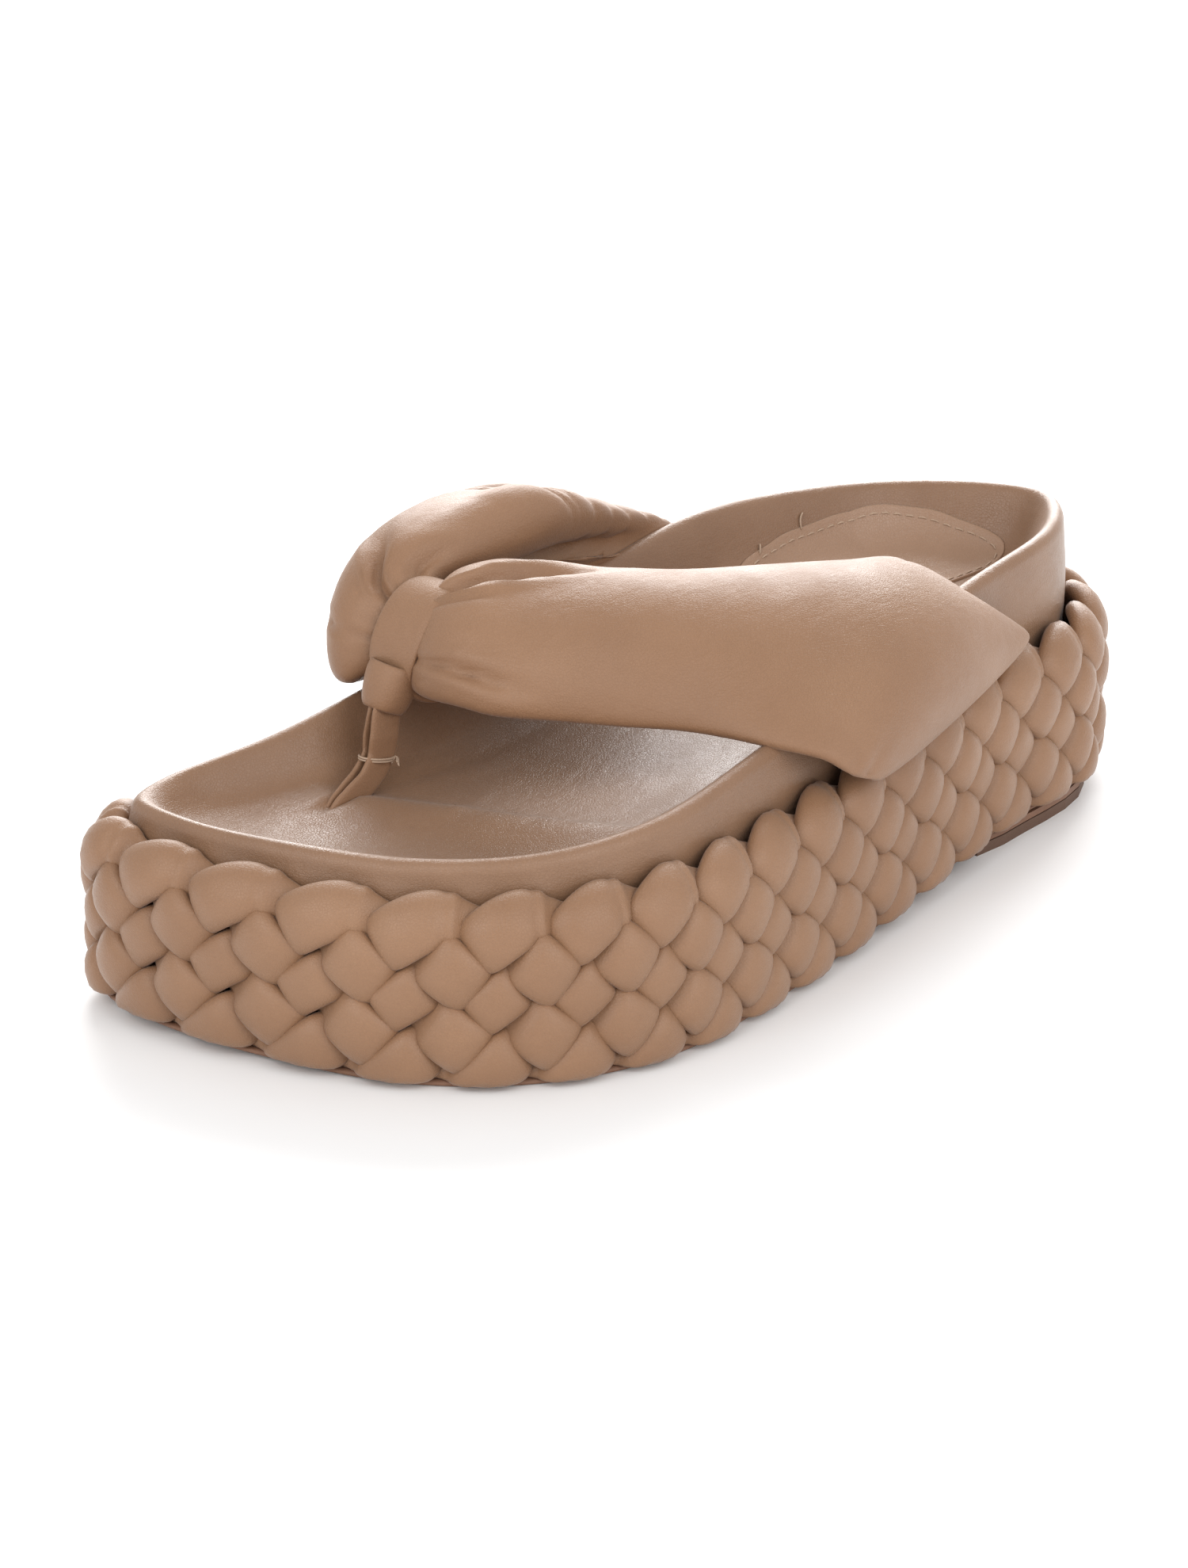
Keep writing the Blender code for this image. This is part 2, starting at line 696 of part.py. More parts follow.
def main():
    clear_scene()
    parts = new_collection(COLLECTION)
    cutters = new_collection(CUTTERS, hidden=True)
    make_outsole(parts)
    ground, top = (lambda point: 0.0), (lambda point: TOP_PIECE_THICK)
    heel_slab("heel_top_piece", ground, top, "grey_rubber", parts)
    heel_slab("heel_lift", above(top, GAP), above(sole_bottom, -GAP), "brown_leather", parts)
    slot = make_cutter("post_slot", SLOT_CENTRE, SLOT_SIZE, cutters)
    recess = make_cutter("anchor_recess", RECESS_CENTRE, RECESS_SIZE, cutters)
    cut(make_core(parts), recess)
    cut(make_board(parts), slot)
    cut(make_footbed_foam(parts), slot)
    cut(make_footbed_cover(parts), slot)
    block("toe_post_anchor", ANCHOR_CENTRE, ANCHOR_SIZE, "nylon", parts)
    make_heel_pad(parts)
    for number in range(STRANDS):
        make_strand(number, parts)
    make_strap("lateral_strap", 1, parts)
    make_strap("medial_strap", -1, parts)
    make_knot_band(parts)
    make_collar(parts)
    make_post(parts)


main()
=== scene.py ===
import math

import bmesh
import bpy
import numpy as np
from mathutils import Matrix, Vector
from mathutils.bvhtree import BVHTree


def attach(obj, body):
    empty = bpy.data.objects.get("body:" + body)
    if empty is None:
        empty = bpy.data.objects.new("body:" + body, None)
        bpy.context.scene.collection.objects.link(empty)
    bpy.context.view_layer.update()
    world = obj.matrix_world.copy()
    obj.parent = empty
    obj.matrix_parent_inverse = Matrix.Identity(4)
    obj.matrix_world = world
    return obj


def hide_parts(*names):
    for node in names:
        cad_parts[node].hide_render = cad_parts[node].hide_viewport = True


# A left platform thong sandal: a braided side wall, a rolled-rim footbed, and two padded
# straps gathered in a knot over the toe post. Lengths are millimetres of the plan, with the
# toe along -Y and the big toe's side at -X. mesh_from() moves them into the frame.

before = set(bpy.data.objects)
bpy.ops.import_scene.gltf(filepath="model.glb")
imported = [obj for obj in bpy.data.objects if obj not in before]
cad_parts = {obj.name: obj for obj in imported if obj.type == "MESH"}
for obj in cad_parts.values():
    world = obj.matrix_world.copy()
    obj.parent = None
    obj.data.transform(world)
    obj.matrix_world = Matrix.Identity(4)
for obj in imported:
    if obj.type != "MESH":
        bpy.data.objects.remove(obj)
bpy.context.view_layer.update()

MM = 0.001
TO_MIDDLE = np.array((1.6, -1.37, 0.0))

# ---------------------------------------------------------------- the plan, as in the CAD

# The outside of the braid, from the toe round the lateral side.
PLAN = (
    (0.0, -130.6), (29.0, -117.0), (51.0, -94.0), (61.0, -62.5), (57.0, -22.0),
    (47.0, 28.5), (38.0, 72.0), (30.0, 114.5), (0.0, 141.2), (-43.0, 117.0),
    (-59.0, 67.0), (-57.5, 16.5), (-55.5, -31.0), (-58.5, -76.5), (-64.6, -113.0),
    (-55.0, -134.5), (-30.0, -138.0),
)
# The middle line of the footbed, which its rings close in on.
SPINE_TOE = (-5.0, -82.0)
SPINE_HEEL = (-11.0, 92.0)
# The sole rises to the heel piece, and springs up a little at the toe.
HEEL_RISE = 4.8
RISE_FROM = -30.0
RISE_TO = 92.0
TOE_SPRING = 2.4
TOE_SPRING_FROM = -108.0
TOE_SPRING_REACH = 30.0
SOLE_THICK = 3.0
SOLE_EDGE = 1.5
# The footbed's floor and its rim's crest, at the toe and at the heel.
FLOOR_TOE = 38.0
FLOOR_HEEL = 50.0
FLOOR_RISE = (-60.0, 80.0)
CREST_TOE = 47.0
CREST_HEEL = 69.0
CREST_RISE = (-125.0, 130.0)
# The rim stands higher along the arch of the foot.
ARCH_RAISE = 8.0
ARCH_SIDE = (0.0, -30.0)
ARCH_IN = (-125.0, -30.0)
ARCH_OUT = (120.0, 30.0)
# How far inside the plan the footbed's wall and its crest stand.
WALL_INSET = 12.0
CREST_INSET = 14.5
# Where the toe post goes through the footbed.
POST_HOLE = (-26.0, -84.0)

# How far to each side the plan's direction is read: on the braid, and on the smoother parts.
BRAID_REACH = 3.0
SMOOTH_REACH = 6.0


def smoothstep(a, b, value):
    """0 up to a, 1 from b, and a soft ramp between."""
    t = np.clip((np.asarray(value, float) - a) / (b - a), 0.0, 1.0)
    return t * t * (3.0 - 2.0 * t)


def mix(a, b, t):
    return a + (b - a) * t


def hump(distance, reach):
    """A soft bell: 1 in the middle, fading over this reach."""
    return np.exp(-((distance / reach) ** 2))


def signed_power(value, power):
    """Squares off a sine wave for powers below 1, keeping its sign."""
    return np.sign(value) * np.abs(value) ** power


def unit(vector):
    vector = np.asarray(vector, float)
    return vector / np.linalg.norm(vector)


def arc_lengths(points):
    """Distance travelled along a line of points, 0 at the first."""
    steps = np.linalg.norm(np.diff(points, axis=0), axis=1)
    return np.concatenate([[0.0], np.cumsum(steps)])


def closed_spline(controls, steps):
    """Points of a smooth closed curve through the controls."""
    controls = np.array(controls, float)
    before, after = np.roll(controls, 1, 0), np.roll(controls, -1, 0)
    after_next = np.roll(controls, -2, 0)
    handle_a = controls + (after - before) / 6.0
    handle_b = after - (after_next - controls) / 6.0
    t = (np.arange(steps) / steps)[None, :, None]
    curve = (
        controls[:, None] * (1 - t) ** 3 + handle_a[:, None] * 3 * t * (1 - t) ** 2
        + handle_b[:, None] * 3 * t * t * (1 - t) + after[:, None] * t ** 3
    )
    return curve.reshape(-1, 2)


def open_spline(controls, places):
    """A smooth open curve through control rows, read at these places (0 to the last row)."""
    controls = np.array(controls, float)
    n = len(controls)
    before = 2 * controls[0] - controls[1]
    beyond = 2 * controls[-1] - controls[-2]
    padded = np.vstack([before, controls, beyond])
    i = np.minimum(places.astype(int), n - 2)
    t = (places - i)[:, None]
    p0, p1, p2, p3 = padded[i], padded[i + 1], padded[i + 2], padded[i + 3]
    return 0.5 * (
        2 * p1 + (p2 - p0) * t + (2 * p0 - 5 * p1 + 4 * p2 - p3) * t ** 2
        + (3 * p1 - p0 - 3 * p2 + p3) * t ** 3
    )


class Plan:
    """The outside of the braid as a closed curve that can be read at any arc length."""

    def __init__(self, controls):
        fine = closed_spline(controls, 60)
        fine = np.roll(fine, -int(np.argmin(fine[:, 1])), axis=0)
        self.loop = np.vstack([fine, fine[:1]])
        self.arc = arc_lengths(self.loop)
        self.length = self.arc[-1]

    def at(self, s):
        s = np.mod(s, self.length)
        return np.stack([np.interp(s, self.arc, self.loop[:, k]) for k in (0, 1)], -1)

    def out(self, s, reach):
        """The direction out of the plan, smoothed over this reach."""
        along = self.at(s + reach) - self.at(s - reach)
        along /= np.linalg.norm(along, axis=-1, keepdims=True)
        return np.stack([along[..., 1], -along[..., 0]], -1)

    def stations(self, count):
        return np.arange(count) * self.length / count


plan = Plan(PLAN)


def sole_bottom(y):
    toe = np.maximum(0.0, TOE_SPRING_FROM - y) / TOE_SPRING_REACH
    return TOE_SPRING * toe * toe + HEEL_RISE * smoothstep(RISE_FROM, RISE_TO, y)


def floor_height(y):
    return mix(FLOOR_TOE, FLOOR_HEEL, smoothstep(*FLOOR_RISE, y))


def crest_height(x, y):
    arch = smoothstep(*ARCH_SIDE, x) * (smoothstep(*ARCH_IN, y) * smoothstep(*ARCH_OUT, y))
    return mix(CREST_TOE, CREST_HEEL, smoothstep(*CREST_RISE, y)) + ARCH_RAISE * arch


# ---------------------------------------------------------------- meshes

# Points closer than this (m) are one point.
WELD = 2e-7


def new_object(name, mesh, material, smooth=True):
    obj = bpy.data.objects.new(name, mesh)
    bpy.context.scene.collection.objects.link(obj)
    mesh.materials.append(material)
    if smooth:
        mesh.polygons.foreach_set("use_smooth", [True] * len(mesh.polygons))
    return obj


def mesh_from(name, points, faces):
    """A mesh in metres in the frame, from points in millimetres of the plan."""
    mesh = bpy.data.meshes.new(name)
    placed = (np.asarray(points, float).reshape(-1, 3) + TO_MIDDLE) * MM
    mesh.from_pydata(placed.tolist(), [], [tuple(map(int, face)) for face in faces])
    mesh.update()
    return mesh


def grid_faces(rows, cols, closed=False, start=0):
    """Quads between neighbouring rings of points, and back to the first ring if closed."""
    faces = []
    for r in range(rows if closed else rows - 1):
        here = start + r * cols
        ahead = start + (r + 1) % rows * cols
        for c in range(cols):
            n = (c + 1) % cols
            faces.append((here + c, here + n, ahead + n, ahead + c))
    return faces


def end_faces(rows, cols, start=0):
    """The first and the last ring, each as one face."""
    last = start + (rows - 1) * cols
    return [tuple(range(start, start + cols)), tuple(range(last, last + cols))]


def weld(mesh, distance, inside_out):
    """Joins doubled points and makes the faces agree, turned round if inside_out says so."""
    shape = bmesh.new()
    shape.from_mesh(mesh)
    bmesh.ops.remove_doubles(shape, verts=shape.verts, dist=distance)
    bmesh.ops.recalc_face_normals(shape, faces=shape.faces)
    if inside_out(shape):
        bmesh.ops.reverse_faces(shape, faces=shape.faces)
    shape.to_mesh(mesh)
    shape.free()


def closed_piece(name, points, faces, material):
    """A closed form with its faces outwards."""
    mesh = mesh_from(name, points, faces)
    weld(mesh, WELD, lambda shape: shape.calc_volume(signed=True) < 0)
    return new_object(name, mesh, material)


def open_piece(name, points, faces, material, distance=WELD):
    """An open sheet with its faces to the sky."""
    mesh = mesh_from(name, points, faces)
    weld(mesh, distance, lambda shape: sum(face.normal.z for face in shape.faces) < 0)
    return new_object(name, mesh, material)


def finish_piece(obj, slot, *nodes):
    """The piece belongs to the sandal's one body and stands for these CAD nodes."""
    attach(obj, "root")
    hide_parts(*nodes)


# ---------------------------------------------------------------- materials

class Nodes:
    """Short ways to add and join shader nodes."""

    def __init__(self, name):
        self.material = bpy.data.materials.new(name)
        self.material.use_nodes = True
        self.tree = self.material.node_tree
        self.shader = self.tree.nodes["Principled BSDF"]
        self.place = self.add("ShaderNodeTexCoord").outputs["Object"]

    def add(self, kind, **values):
        node = self.tree.nodes.new(kind)
        for key, value in values.items():
            setattr(node, key, value)
        return node

    def join(self, output, socket):
        self.tree.links.new(output, socket)

    def noise(self, scale, detail=3.0, rough=0.55, stretch=None):
        node = self.add("ShaderNodeTexNoise")
        node.inputs["Scale"].default_value = scale
        node.inputs["Detail"].default_value = detail
        node.inputs["Roughness"].default_value = rough
        place = self.place
        if stretch is not None:
            mapping = self.add("ShaderNodeMapping")
            mapping.inputs["Scale"].default_value = stretch
            self.join(place, mapping.inputs["Vector"])
            place = mapping.outputs["Vector"]
        self.join(place, node.inputs["Vector"])
        return node.outputs["Fac"]

    def cell_edges(self, scale):
        node = self.add("ShaderNodeTexVoronoi", feature="DISTANCE_TO_EDGE")
        node.inputs["Scale"].default_value = scale
        self.join(self.place, node.inputs["Vector"])
        return node.outputs["Distance"]

    def spread(self, value, low, high, to_low=0.0, to_high=1.0):
        node = self.add("ShaderNodeMapRange")
        self.join(value, node.inputs["Value"])
        node.inputs["From Min"].default_value = low
        node.inputs["From Max"].default_value = high
        node.inputs["To Min"].default_value = to_low
        node.inputs["To Max"].default_value = to_high
        return node.outputs["Result"]

    def colours(self, factor, first, second):
        node = self.add("ShaderNodeMix", data_type="RGBA")
        self.join(factor, node.inputs["Factor"])
        for socket, colour in ((node.inputs[6], first), (node.inputs[7], second)):
            if isinstance(colour, tuple):
                socket.default_value = (*colour, 1.0)
            else:
                self.join(colour, socket)
        return node.outputs[2]

    def bump(self, height, distance, strength, under=None):
        node = self.add("ShaderNodeBump")
        node.inputs["Strength"].default_value = strength
        node.inputs["Distance"].default_value = distance
        self.join(height, node.inputs["Height"])
        if under is not None:
            self.join(under, node.inputs["Normal"])
        return node.outputs["Normal"]


def leather(name, dark, light, grain=1500.0, grain_depth=0.00005, rough=(0.42, 0.56),
            sheen=0.12, crinkle=0.0003):
    """Matte nappa: a fine pebble grain, soft colour drift, and a low sheen.

    With another grain and less sheen it also does for the sole, the cork and the foam."""
    n = Nodes(name)
    drift = n.spread(n.noise(22.0, detail=4.0, rough=0.6), 0.3, 0.7)
    colour = n.colours(drift, dark, light)
    deeper = tuple(0.82 * channel for channel in dark)
    speck = n.spread(n.noise(2600.0, detail=2.0), 0.35, 0.75)
    colour = n.colours(n.spread(speck, 0.0, 1.0, 0.0, 0.22), colour, deeper)
    pores = n.spread(n.cell_edges(grain), 0.0, 0.16)
    colour = n.colours(n.spread(pores, 0.0, 1.0, 0.18, 0.0), colour, deeper)
    n.join(colour, n.shader.inputs["Base Color"])
    gloss = n.spread(n.noise(60.0), 0.3, 0.7, *rough)
    n.join(gloss, n.shader.inputs["Roughness"])
    folds = n.spread(n.noise(95.0, detail=5.0, rough=0.62, stretch=(1.0, 0.45, 1.0)), 0.42, 0.6)
    worn = n.bump(folds, crinkle, strength=0.35)
    soft = n.bump(n.noise(260.0, rough=0.6), 0.00012, strength=0.5, under=worn)
    fine = n.bump(pores, grain_depth, strength=0.6, under=soft)
    n.join(fine, n.shader.inputs["Normal"])
    n.shader.inputs["Sheen Weight"].default_value = sheen
    n.shader.inputs["Sheen Roughness"].default_value = 0.45
    n.shader.inputs["Specular IOR Level"].default_value = 0.42
    return n.material


TAN_DARK = (0.232, 0.121, 0.063)
TAN_LIGHT = (0.284, 0.154, 0.083)

strap_leather = leather("strap_leather", TAN_DARK, TAN_LIGHT)
braid_leather = leather(
    "braid_leather", TAN_DARK, TAN_LIGHT, rough=(0.36, 0.48), crinkle=0.00018)
footbed_leather = leather(
    "footbed_leather", (0.205, 0.110, 0.060), (0.262, 0.147, 0.084), rough=(0.3, 0.46))
sock_leather = leather(
    "sock_leather", (0.29, 0.17, 0.105), (0.35, 0.215, 0.138), rough=(0.27, 0.42))
sole_leather = leather(
    "sole_leather", (0.17, 0.085, 0.05), (0.25, 0.13, 0.08),
    grain=2200.0, grain_depth=0.00003, rough=(0.5, 0.7), sheen=0.0)
sole_rubber = leather(
    "sole_rubber", (0.10, 0.055, 0.035), (0.15, 0.08, 0.052),
    grain=3200.0, grain_depth=0.00002, rough=(0.6, 0.75), sheen=0.0)
cork = leather(
    "cork", (0.30, 0.17, 0.09), (0.48, 0.31, 0.18),
    grain=420.0, grain_depth=0.0003, rough=(0.8, 0.95), sheen=0.0)
fibre_board = leather(
    "fibre_board", (0.24, 0.16, 0.10), (0.36, 0.25, 0.16),
    grain=900.0, grain_depth=0.0001, rough=(0.8, 0.95), sheen=0.0)
foam = leather(
    "foam", (0.60, 0.52, 0.40), (0.74, 0.67, 0.54),
    grain_depth=0.0002, rough=(0.85, 0.95), sheen=0.0)
thread_nylon = leather(
    "thread_nylon", (0.38, 0.26, 0.18), (0.48, 0.35, 0.25),
    grain=3000.0, grain_depth=0.00002, rough=(0.5, 0.6), sheen=0.1)


# ---------------------------------------------------------------- the braid

STRANDS = 6
PITCHES = 36
# A pitch is the distance between neighbouring turns. It is longer round the toe.
PITCH_USUAL = 18.3
PITCH_AT_TOE = 21.7
TOE_STRETCH_AT = 36.0
TOE_STRETCH_REACH = 62.0
FIRST_CROSSING = 15.6
# A strand climbs from the low turn to the high one in three pitches, and back in three.
HALF_CYCLE = 3.0
BRAID_LOW = -1.8
BRAID_HIGH = 42.0
# How long before and after a turn the path is rounded, in pitches.
TOP_TURN = 0.72
LOW_TURN = 0.42
FALL_LAG = 0.05

# The band's middle surface: it stands upright, leans in over the rim, and tucks in below.
BASE_INSET = 5.2
BAND_MIDDLE = 22.0
TOP_LEAN = math.radians(58.0)
TOP_LEAN_OVER = (27.0, 46.0)
SOLE_TUCK = math.radians(20.0)
SOLE_TUCK_OVER = (11.0, 0.0)
BAND_GRID = np.linspace(-6.0, 56.0, 620)

# How far a strand swings out and in between the over and under crossings.
SWING = 1.9
FLATTEN = 0.72
FALL_SWING = 0.1
MIDDLE_SWING_LESS = 0.22
TURN_SWING = 0.5
OVER_SWING = (-0.8, 0.7)
# Half widths: pressed under, and over on the way down, up, in the middle row and at a turn.
UNDER_HALF_WIDE = 5.0
FALL_HALF_WIDE = 6.7
RISE_HALF_WIDE = 6.3
MIDDLE_HALF_WIDE = 5.6
TURN_HALF_WIDE = 6.6
OVER_THICK = 3.3
UNDER_THICK = 1.8
TURN_THICKER = 0.3
MIDDLE_THINNER = 0.4
# The inner edge of a turn is gathered, with a pinch right at the turn.
TURN_GATHER = 0.26
TURN_OVER = 0.7
TURN_PINCH = 0.13
PINCH_REACH = 0.13
# The middle row's reach, as a share of the band's height.
MIDDLE_REACH = 0.11785
# A strand's section: squared off, and flatter on the side of the platform.
SECTION_ACROSS = 0.85
SECTION_OUT = 0.82
BACK_FLATTER = 0.75
DEEPEST = -3.9
SLOPE_STEP = 0.16
STATIONS_PER_PITCH = 26
STRAND_SIDES = 20
# The strands press softly on the sole's edge.
SOLE_CLEAR = 0.15
SOLE_PRESS = 0.35


def crossing_places():
    """Arc length by pitch number: the pitches are a little longer round the toe."""
    s = np.linspace(0.0, plan.length, 4001)
    away = np.mod(s - TOE_STRETCH_AT + plan.length / 2, plan.length) - plan.length / 2
    local = PITCH_USUAL + (PITCH_AT_TOE - PITCH_USUAL) * hump(away, TOE_STRETCH_REACH)
    pitches = np.concatenate([[0.0], np.cumsum((s[1] - s[0]) / local[1:])])
    pitches *= PITCHES / pitches[-1]
    return s, pitches - np.interp(FIRST_CROSSING, s, pitches)


CROSSING_S, CROSSING_PITCH = crossing_places()


def along_band(pitch):
    """Arc length at this pitch number, going on round the platform."""
    turns = np.floor((pitch - CROSSING_PITCH[0]) / PITCHES)
    return np.interp(pitch - turns * PITCHES, CROSSING_PITCH, CROSSING_S) + turns * plan.length


def band_profile():
    """Inset, height and lean of the band's middle surface, by distance up the band."""
    g = BAND_GRID
    lean = TOP_LEAN * smoothstep(*TOP_LEAN_OVER, g) - SOLE_TUCK * smoothstep(*SOLE_TUCK_OVER, g)
    step = g[1] - g[0]
    inset = np.cumsum(np.sin(lean)) * step
    height = np.cumsum(np.cos(lean)) * step
    middle = np.argmin(np.abs(g - BAND_MIDDLE))
    inset += BASE_INSET - inset[middle]
    height += BAND_MIDDLE - height[middle]
    return g, inset, height, lean


PROFILE = band_profile()


def braid_to_world(s, g, d):
    """From the unrolled band (along, up, outwards) to the platform."""
    grid, inset, height, lean = PROFILE
    at_inset = np.interp(g, grid, inset)
    at_height = np.interp(g, grid, height)
    at_lean = np.interp(g, grid, lean)
    xy = plan.at(s) - plan.out(s, BRAID_REACH) * (at_inset - d * np.cos(at_lean))[..., None]
    z = at_height + d * np.sin(at_lean) + sole_bottom(xy[..., 1])
    return np.concatenate([xy, z[..., None]], -1)


def strand_path(pitch):
    """Share of the band's height, swing outwards, direction, and pitches to the next turn."""
    pitch = np.mod(pitch, 2 * HALF_CYCLE)
    rising = pitch < HALF_CYCLE
    half = np.mod(pitch, HALF_CYCLE)
    side = np.where(rising, 1.0, -1.0)
    to_turn = np.minimum(half, HALF_CYCLE - half)
    early = half < HALF_CYCLE / 2
    at_top = np.where(rising, half > HALF_CYCLE / 2, early)
    rounding = np.where(at_top, TOP_TURN, LOW_TURN)
    rounded = (to_turn ** 2 / rounding + rounding) / 2.0
    edge = np.where(to_turn < rounding, rounded, to_turn)
    fraction = np.where(early, edge, HALF_CYCLE - edge) / HALF_CYCLE
    fraction = np.where(rising, fraction, 1.0 - fraction)
    late = np.where(rising, half, np.clip(half - FALL_LAG, 0.0, HALF_CYCLE))
    weave = np.cos(2.0 * np.pi * (late - 0.5))
    weave = np.where(late > HALF_CYCLE - 0.5, np.sin(np.pi * (HALF_CYCLE - late)), weave)
    weave = np.where(late < 0.5, np.sin(np.pi * late), weave)
    return fraction, side * weave, rising, to_turn


def make_strand(number):
    """One padded leather strand: a full pillow where it rides over, pressed flat below."""
    count = PITCHES * STATIONS_PER_PITCH
    pitch = np.arange(count) / STATIONS_PER_PITCH
    cycle = pitch + number
    fraction, swing, rising, to_turn = strand_path(cycle)

    rise = BRAID_HIGH - BRAID_LOW
    travel = along_band(pitch + SLOPE_STEP) - along_band(pitch - SLOPE_STEP)
    climb = strand_path(cycle + SLOPE_STEP)[0] - strand_path(cycle - SLOPE_STEP)[0]
    angle = np.arctan(climb * rise / travel)[:, None]

    swing = signed_power(swing + np.where(rising, 0.0, FALL_SWING), FLATTEN)
    over = smoothstep(*OVER_SWING, swing)
    turning = 1.0 - smoothstep(0.0, TURN_OVER, to_turn)
    pinch = hump(to_turn, PINCH_REACH)
    middle_row = hump(fraction - 0.5, MIDDLE_REACH) * rising

    full = np.where(rising, mix(RISE_HALF_WIDE, MIDDLE_HALF_WIDE, middle_row), FALL_HALF_WIDE)
    full = mix(full, TURN_HALF_WIDE, turning)
    half_wide = mix(UNDER_HALF_WIDE, full, over)
    inner_wide = half_wide * (1.0 - TURN_GATHER * turning - TURN_PINCH * pinch)
    thick = mix(UNDER_THICK, OVER_THICK, over)
    thick = thick + TURN_THICKER * turning - MIDDLE_THINNER * middle_row
    swing = SWING * swing * (1.0 - MIDDLE_SWING_LESS * middle_row) + TURN_SWING * turning

    psi = 2.0 * np.pi * (np.arange(STRAND_SIDES) + 0.5) / STRAND_SIDES
    across = signed_power(np.cos(psi), SECTION_ACROSS)[None, :]
    outward = signed_power(np.sin(psi), SECTION_OUT)
    outward = (outward * np.where(outward > 0, 1.0, BACK_FLATTER))[None, :]
    towards_edge = (across > 0) == (fraction > 0.5)[:, None]
    aside = across * np.where(towards_edge, half_wide[:, None], inner_wide[:, None])
    out = np.maximum(swing[:, None] + outward * thick[:, None], DEEPEST)
    along = along_band(pitch)[:, None] - aside * np.sin(angle)
    up = (BRAID_LOW + rise * fraction)[:, None] + aside * np.cos(angle)
    points = braid_to_world(along, up, out)
    low = SOLE_EDGE + SOLE_CLEAR + sole_bottom(points[..., 1])
    points[..., 2] = low + SOLE_PRESS * np.logaddexp(0.0, (points[..., 2] - low) / SOLE_PRESS)

    faces = grid_faces(count, STRAND_SIDES, closed=True)
    obj = closed_piece("padded_strand_%d" % (number + 1), points, faces, braid_leather)
    finish_piece(obj, "tan_leather", "braid_strand_%d" % (number + 1))


for strand in range(STRANDS):
    make_strand(strand)


# ---------------------------------------------------------------- the outsole

SOLE_STATIONS = 320
# The sole's section from its underside round its edge to its top: inset, height.
SOLE_SECTION = (
    (30.0, 0.0), (12.0, 0.0), (5.6, 0.0), (4.9, 0.12), (4.45, 0.45), (4.35, 0.8), (4.45, 1.1),
    (4.9, 1.4), (5.6, SOLE_EDGE), (9.0, SOLE_EDGE), (12.0, 2.4), (14.0, SOLE_THICK),
    (30.0, SOLE_THICK),
)


def strip_faces(start, count):
    """Fills a long ring with strips from side to side."""
    faces = [(start, start + 1, start + count - 1)]
    half = count // 2
    for k in range(1, half - 1):
        far = start + count - k
        faces.append((start + k, start + k + 1, far - 1, far))
    faces.append((start + half - 1, start + half, start + half + 1))
    return faces


def make_outsole():
    """A leather sole, thinned to a rounded edge where the braid curls over it."""
    s = plan.stations(SOLE_STATIONS)
    out = plan.out(s, SMOOTH_REACH)
    rings = []
    for inset, height in SOLE_SECTION:
        xy = plan.at(s) - out * inset
        rings.append(np.column_stack([xy, sole_bottom(xy[:, 1]) + height]))
    rows = len(rings)
    faces = grid_faces(rows, SOLE_STATIONS)
    faces += strip_faces(0, SOLE_STATIONS)
    faces += strip_faces((rows - 1) * SOLE_STATIONS, SOLE_STATIONS)
    obj = closed_piece("outsole_leather", rings, faces, sole_leather)
    finish_piece(obj, "brown_leather", "outsole")


make_outsole()


# ---------------------------------------------------------------- the footbed

FOOTBED_STATIONS = 320
# The heel's corners are rounded over this many stations to each side, above the sole.
CORNER_ROUNDING = 13
ROUNDED_INSETS = (8.0, WALL_INSET)
ROUNDED_OVER = (30.0, 90.0)
# The wall stands behind the braid and bulges a little, just below its middle. The rim turns
# over at its top.
HEM_INSETS = (13.4, 12.4)
HEM_HEIGHT = 30.0
WALL_FOOT = 34.0
WALL_BULGE = 0.9
BULGE_LOWERED = 1.02
WALL_ROWS = 9
RIM_ROUND = 3.2
RIM_ROWS = 7
# The bed's rings: close together by the rim, then on in to the middle line.
RIM_SIDE_INSETS = np.linspace(CREST_INSET, 24.0, 20)[1:]
FLOOR_INSETS = np.linspace(24.8, 88.0, 70)
BED_WELD = 0.00005
# Share of the rim's height left, by distance in from its crest.
BOWL = (
    (0.0, 1.0), (1.2, 0.985), (3.4, 0.80), (6.5, 0.46), (10.5, 0.2), (16.0, 0.06), (24.0, 0.01),
    (34.0, 0.0),
)
BOWL_GRID = np.linspace(-4.0, 40.0, 881)
BOWL_SOFTENING = 30
# The ridge under the toes runs back from the post hole to the lateral side.
RIDGE = 2.9
RIDGE_FROM = (-30.0, -84.0)
RIDGE_SLANT = 0.55
RIDGE_TURN = 0.88
RIDGE_FRONT_REACH = 12.0
RIDGE_BACK_REACH = 4.2
RIDGE_FADE = (-52.0, -34.0)
# Each dimple: its middle, its reach along x and y, and its depth.
DIMPLES = (
    ((5.0, -42.0), (30.0, 22.0), 1.2),
    ((-42.0, -84.0), (7.0, 8.0), 1.0),
    (POST_HOLE, (1.7, 5.5), 2.2),
)
LEATHER_LIFT = 0.7
# A small slanting wrinkle behind the post.
WRINKLE = 0.35
WRINKLE_AT = (-8.0, -60.0)
WRINKLE_SLANT = 0.4
WRINKLE_REACH = 2.2
WRINKLE_MIDDLE_Y = -62.0
WRINKLE_HALF_LONG = 9.0


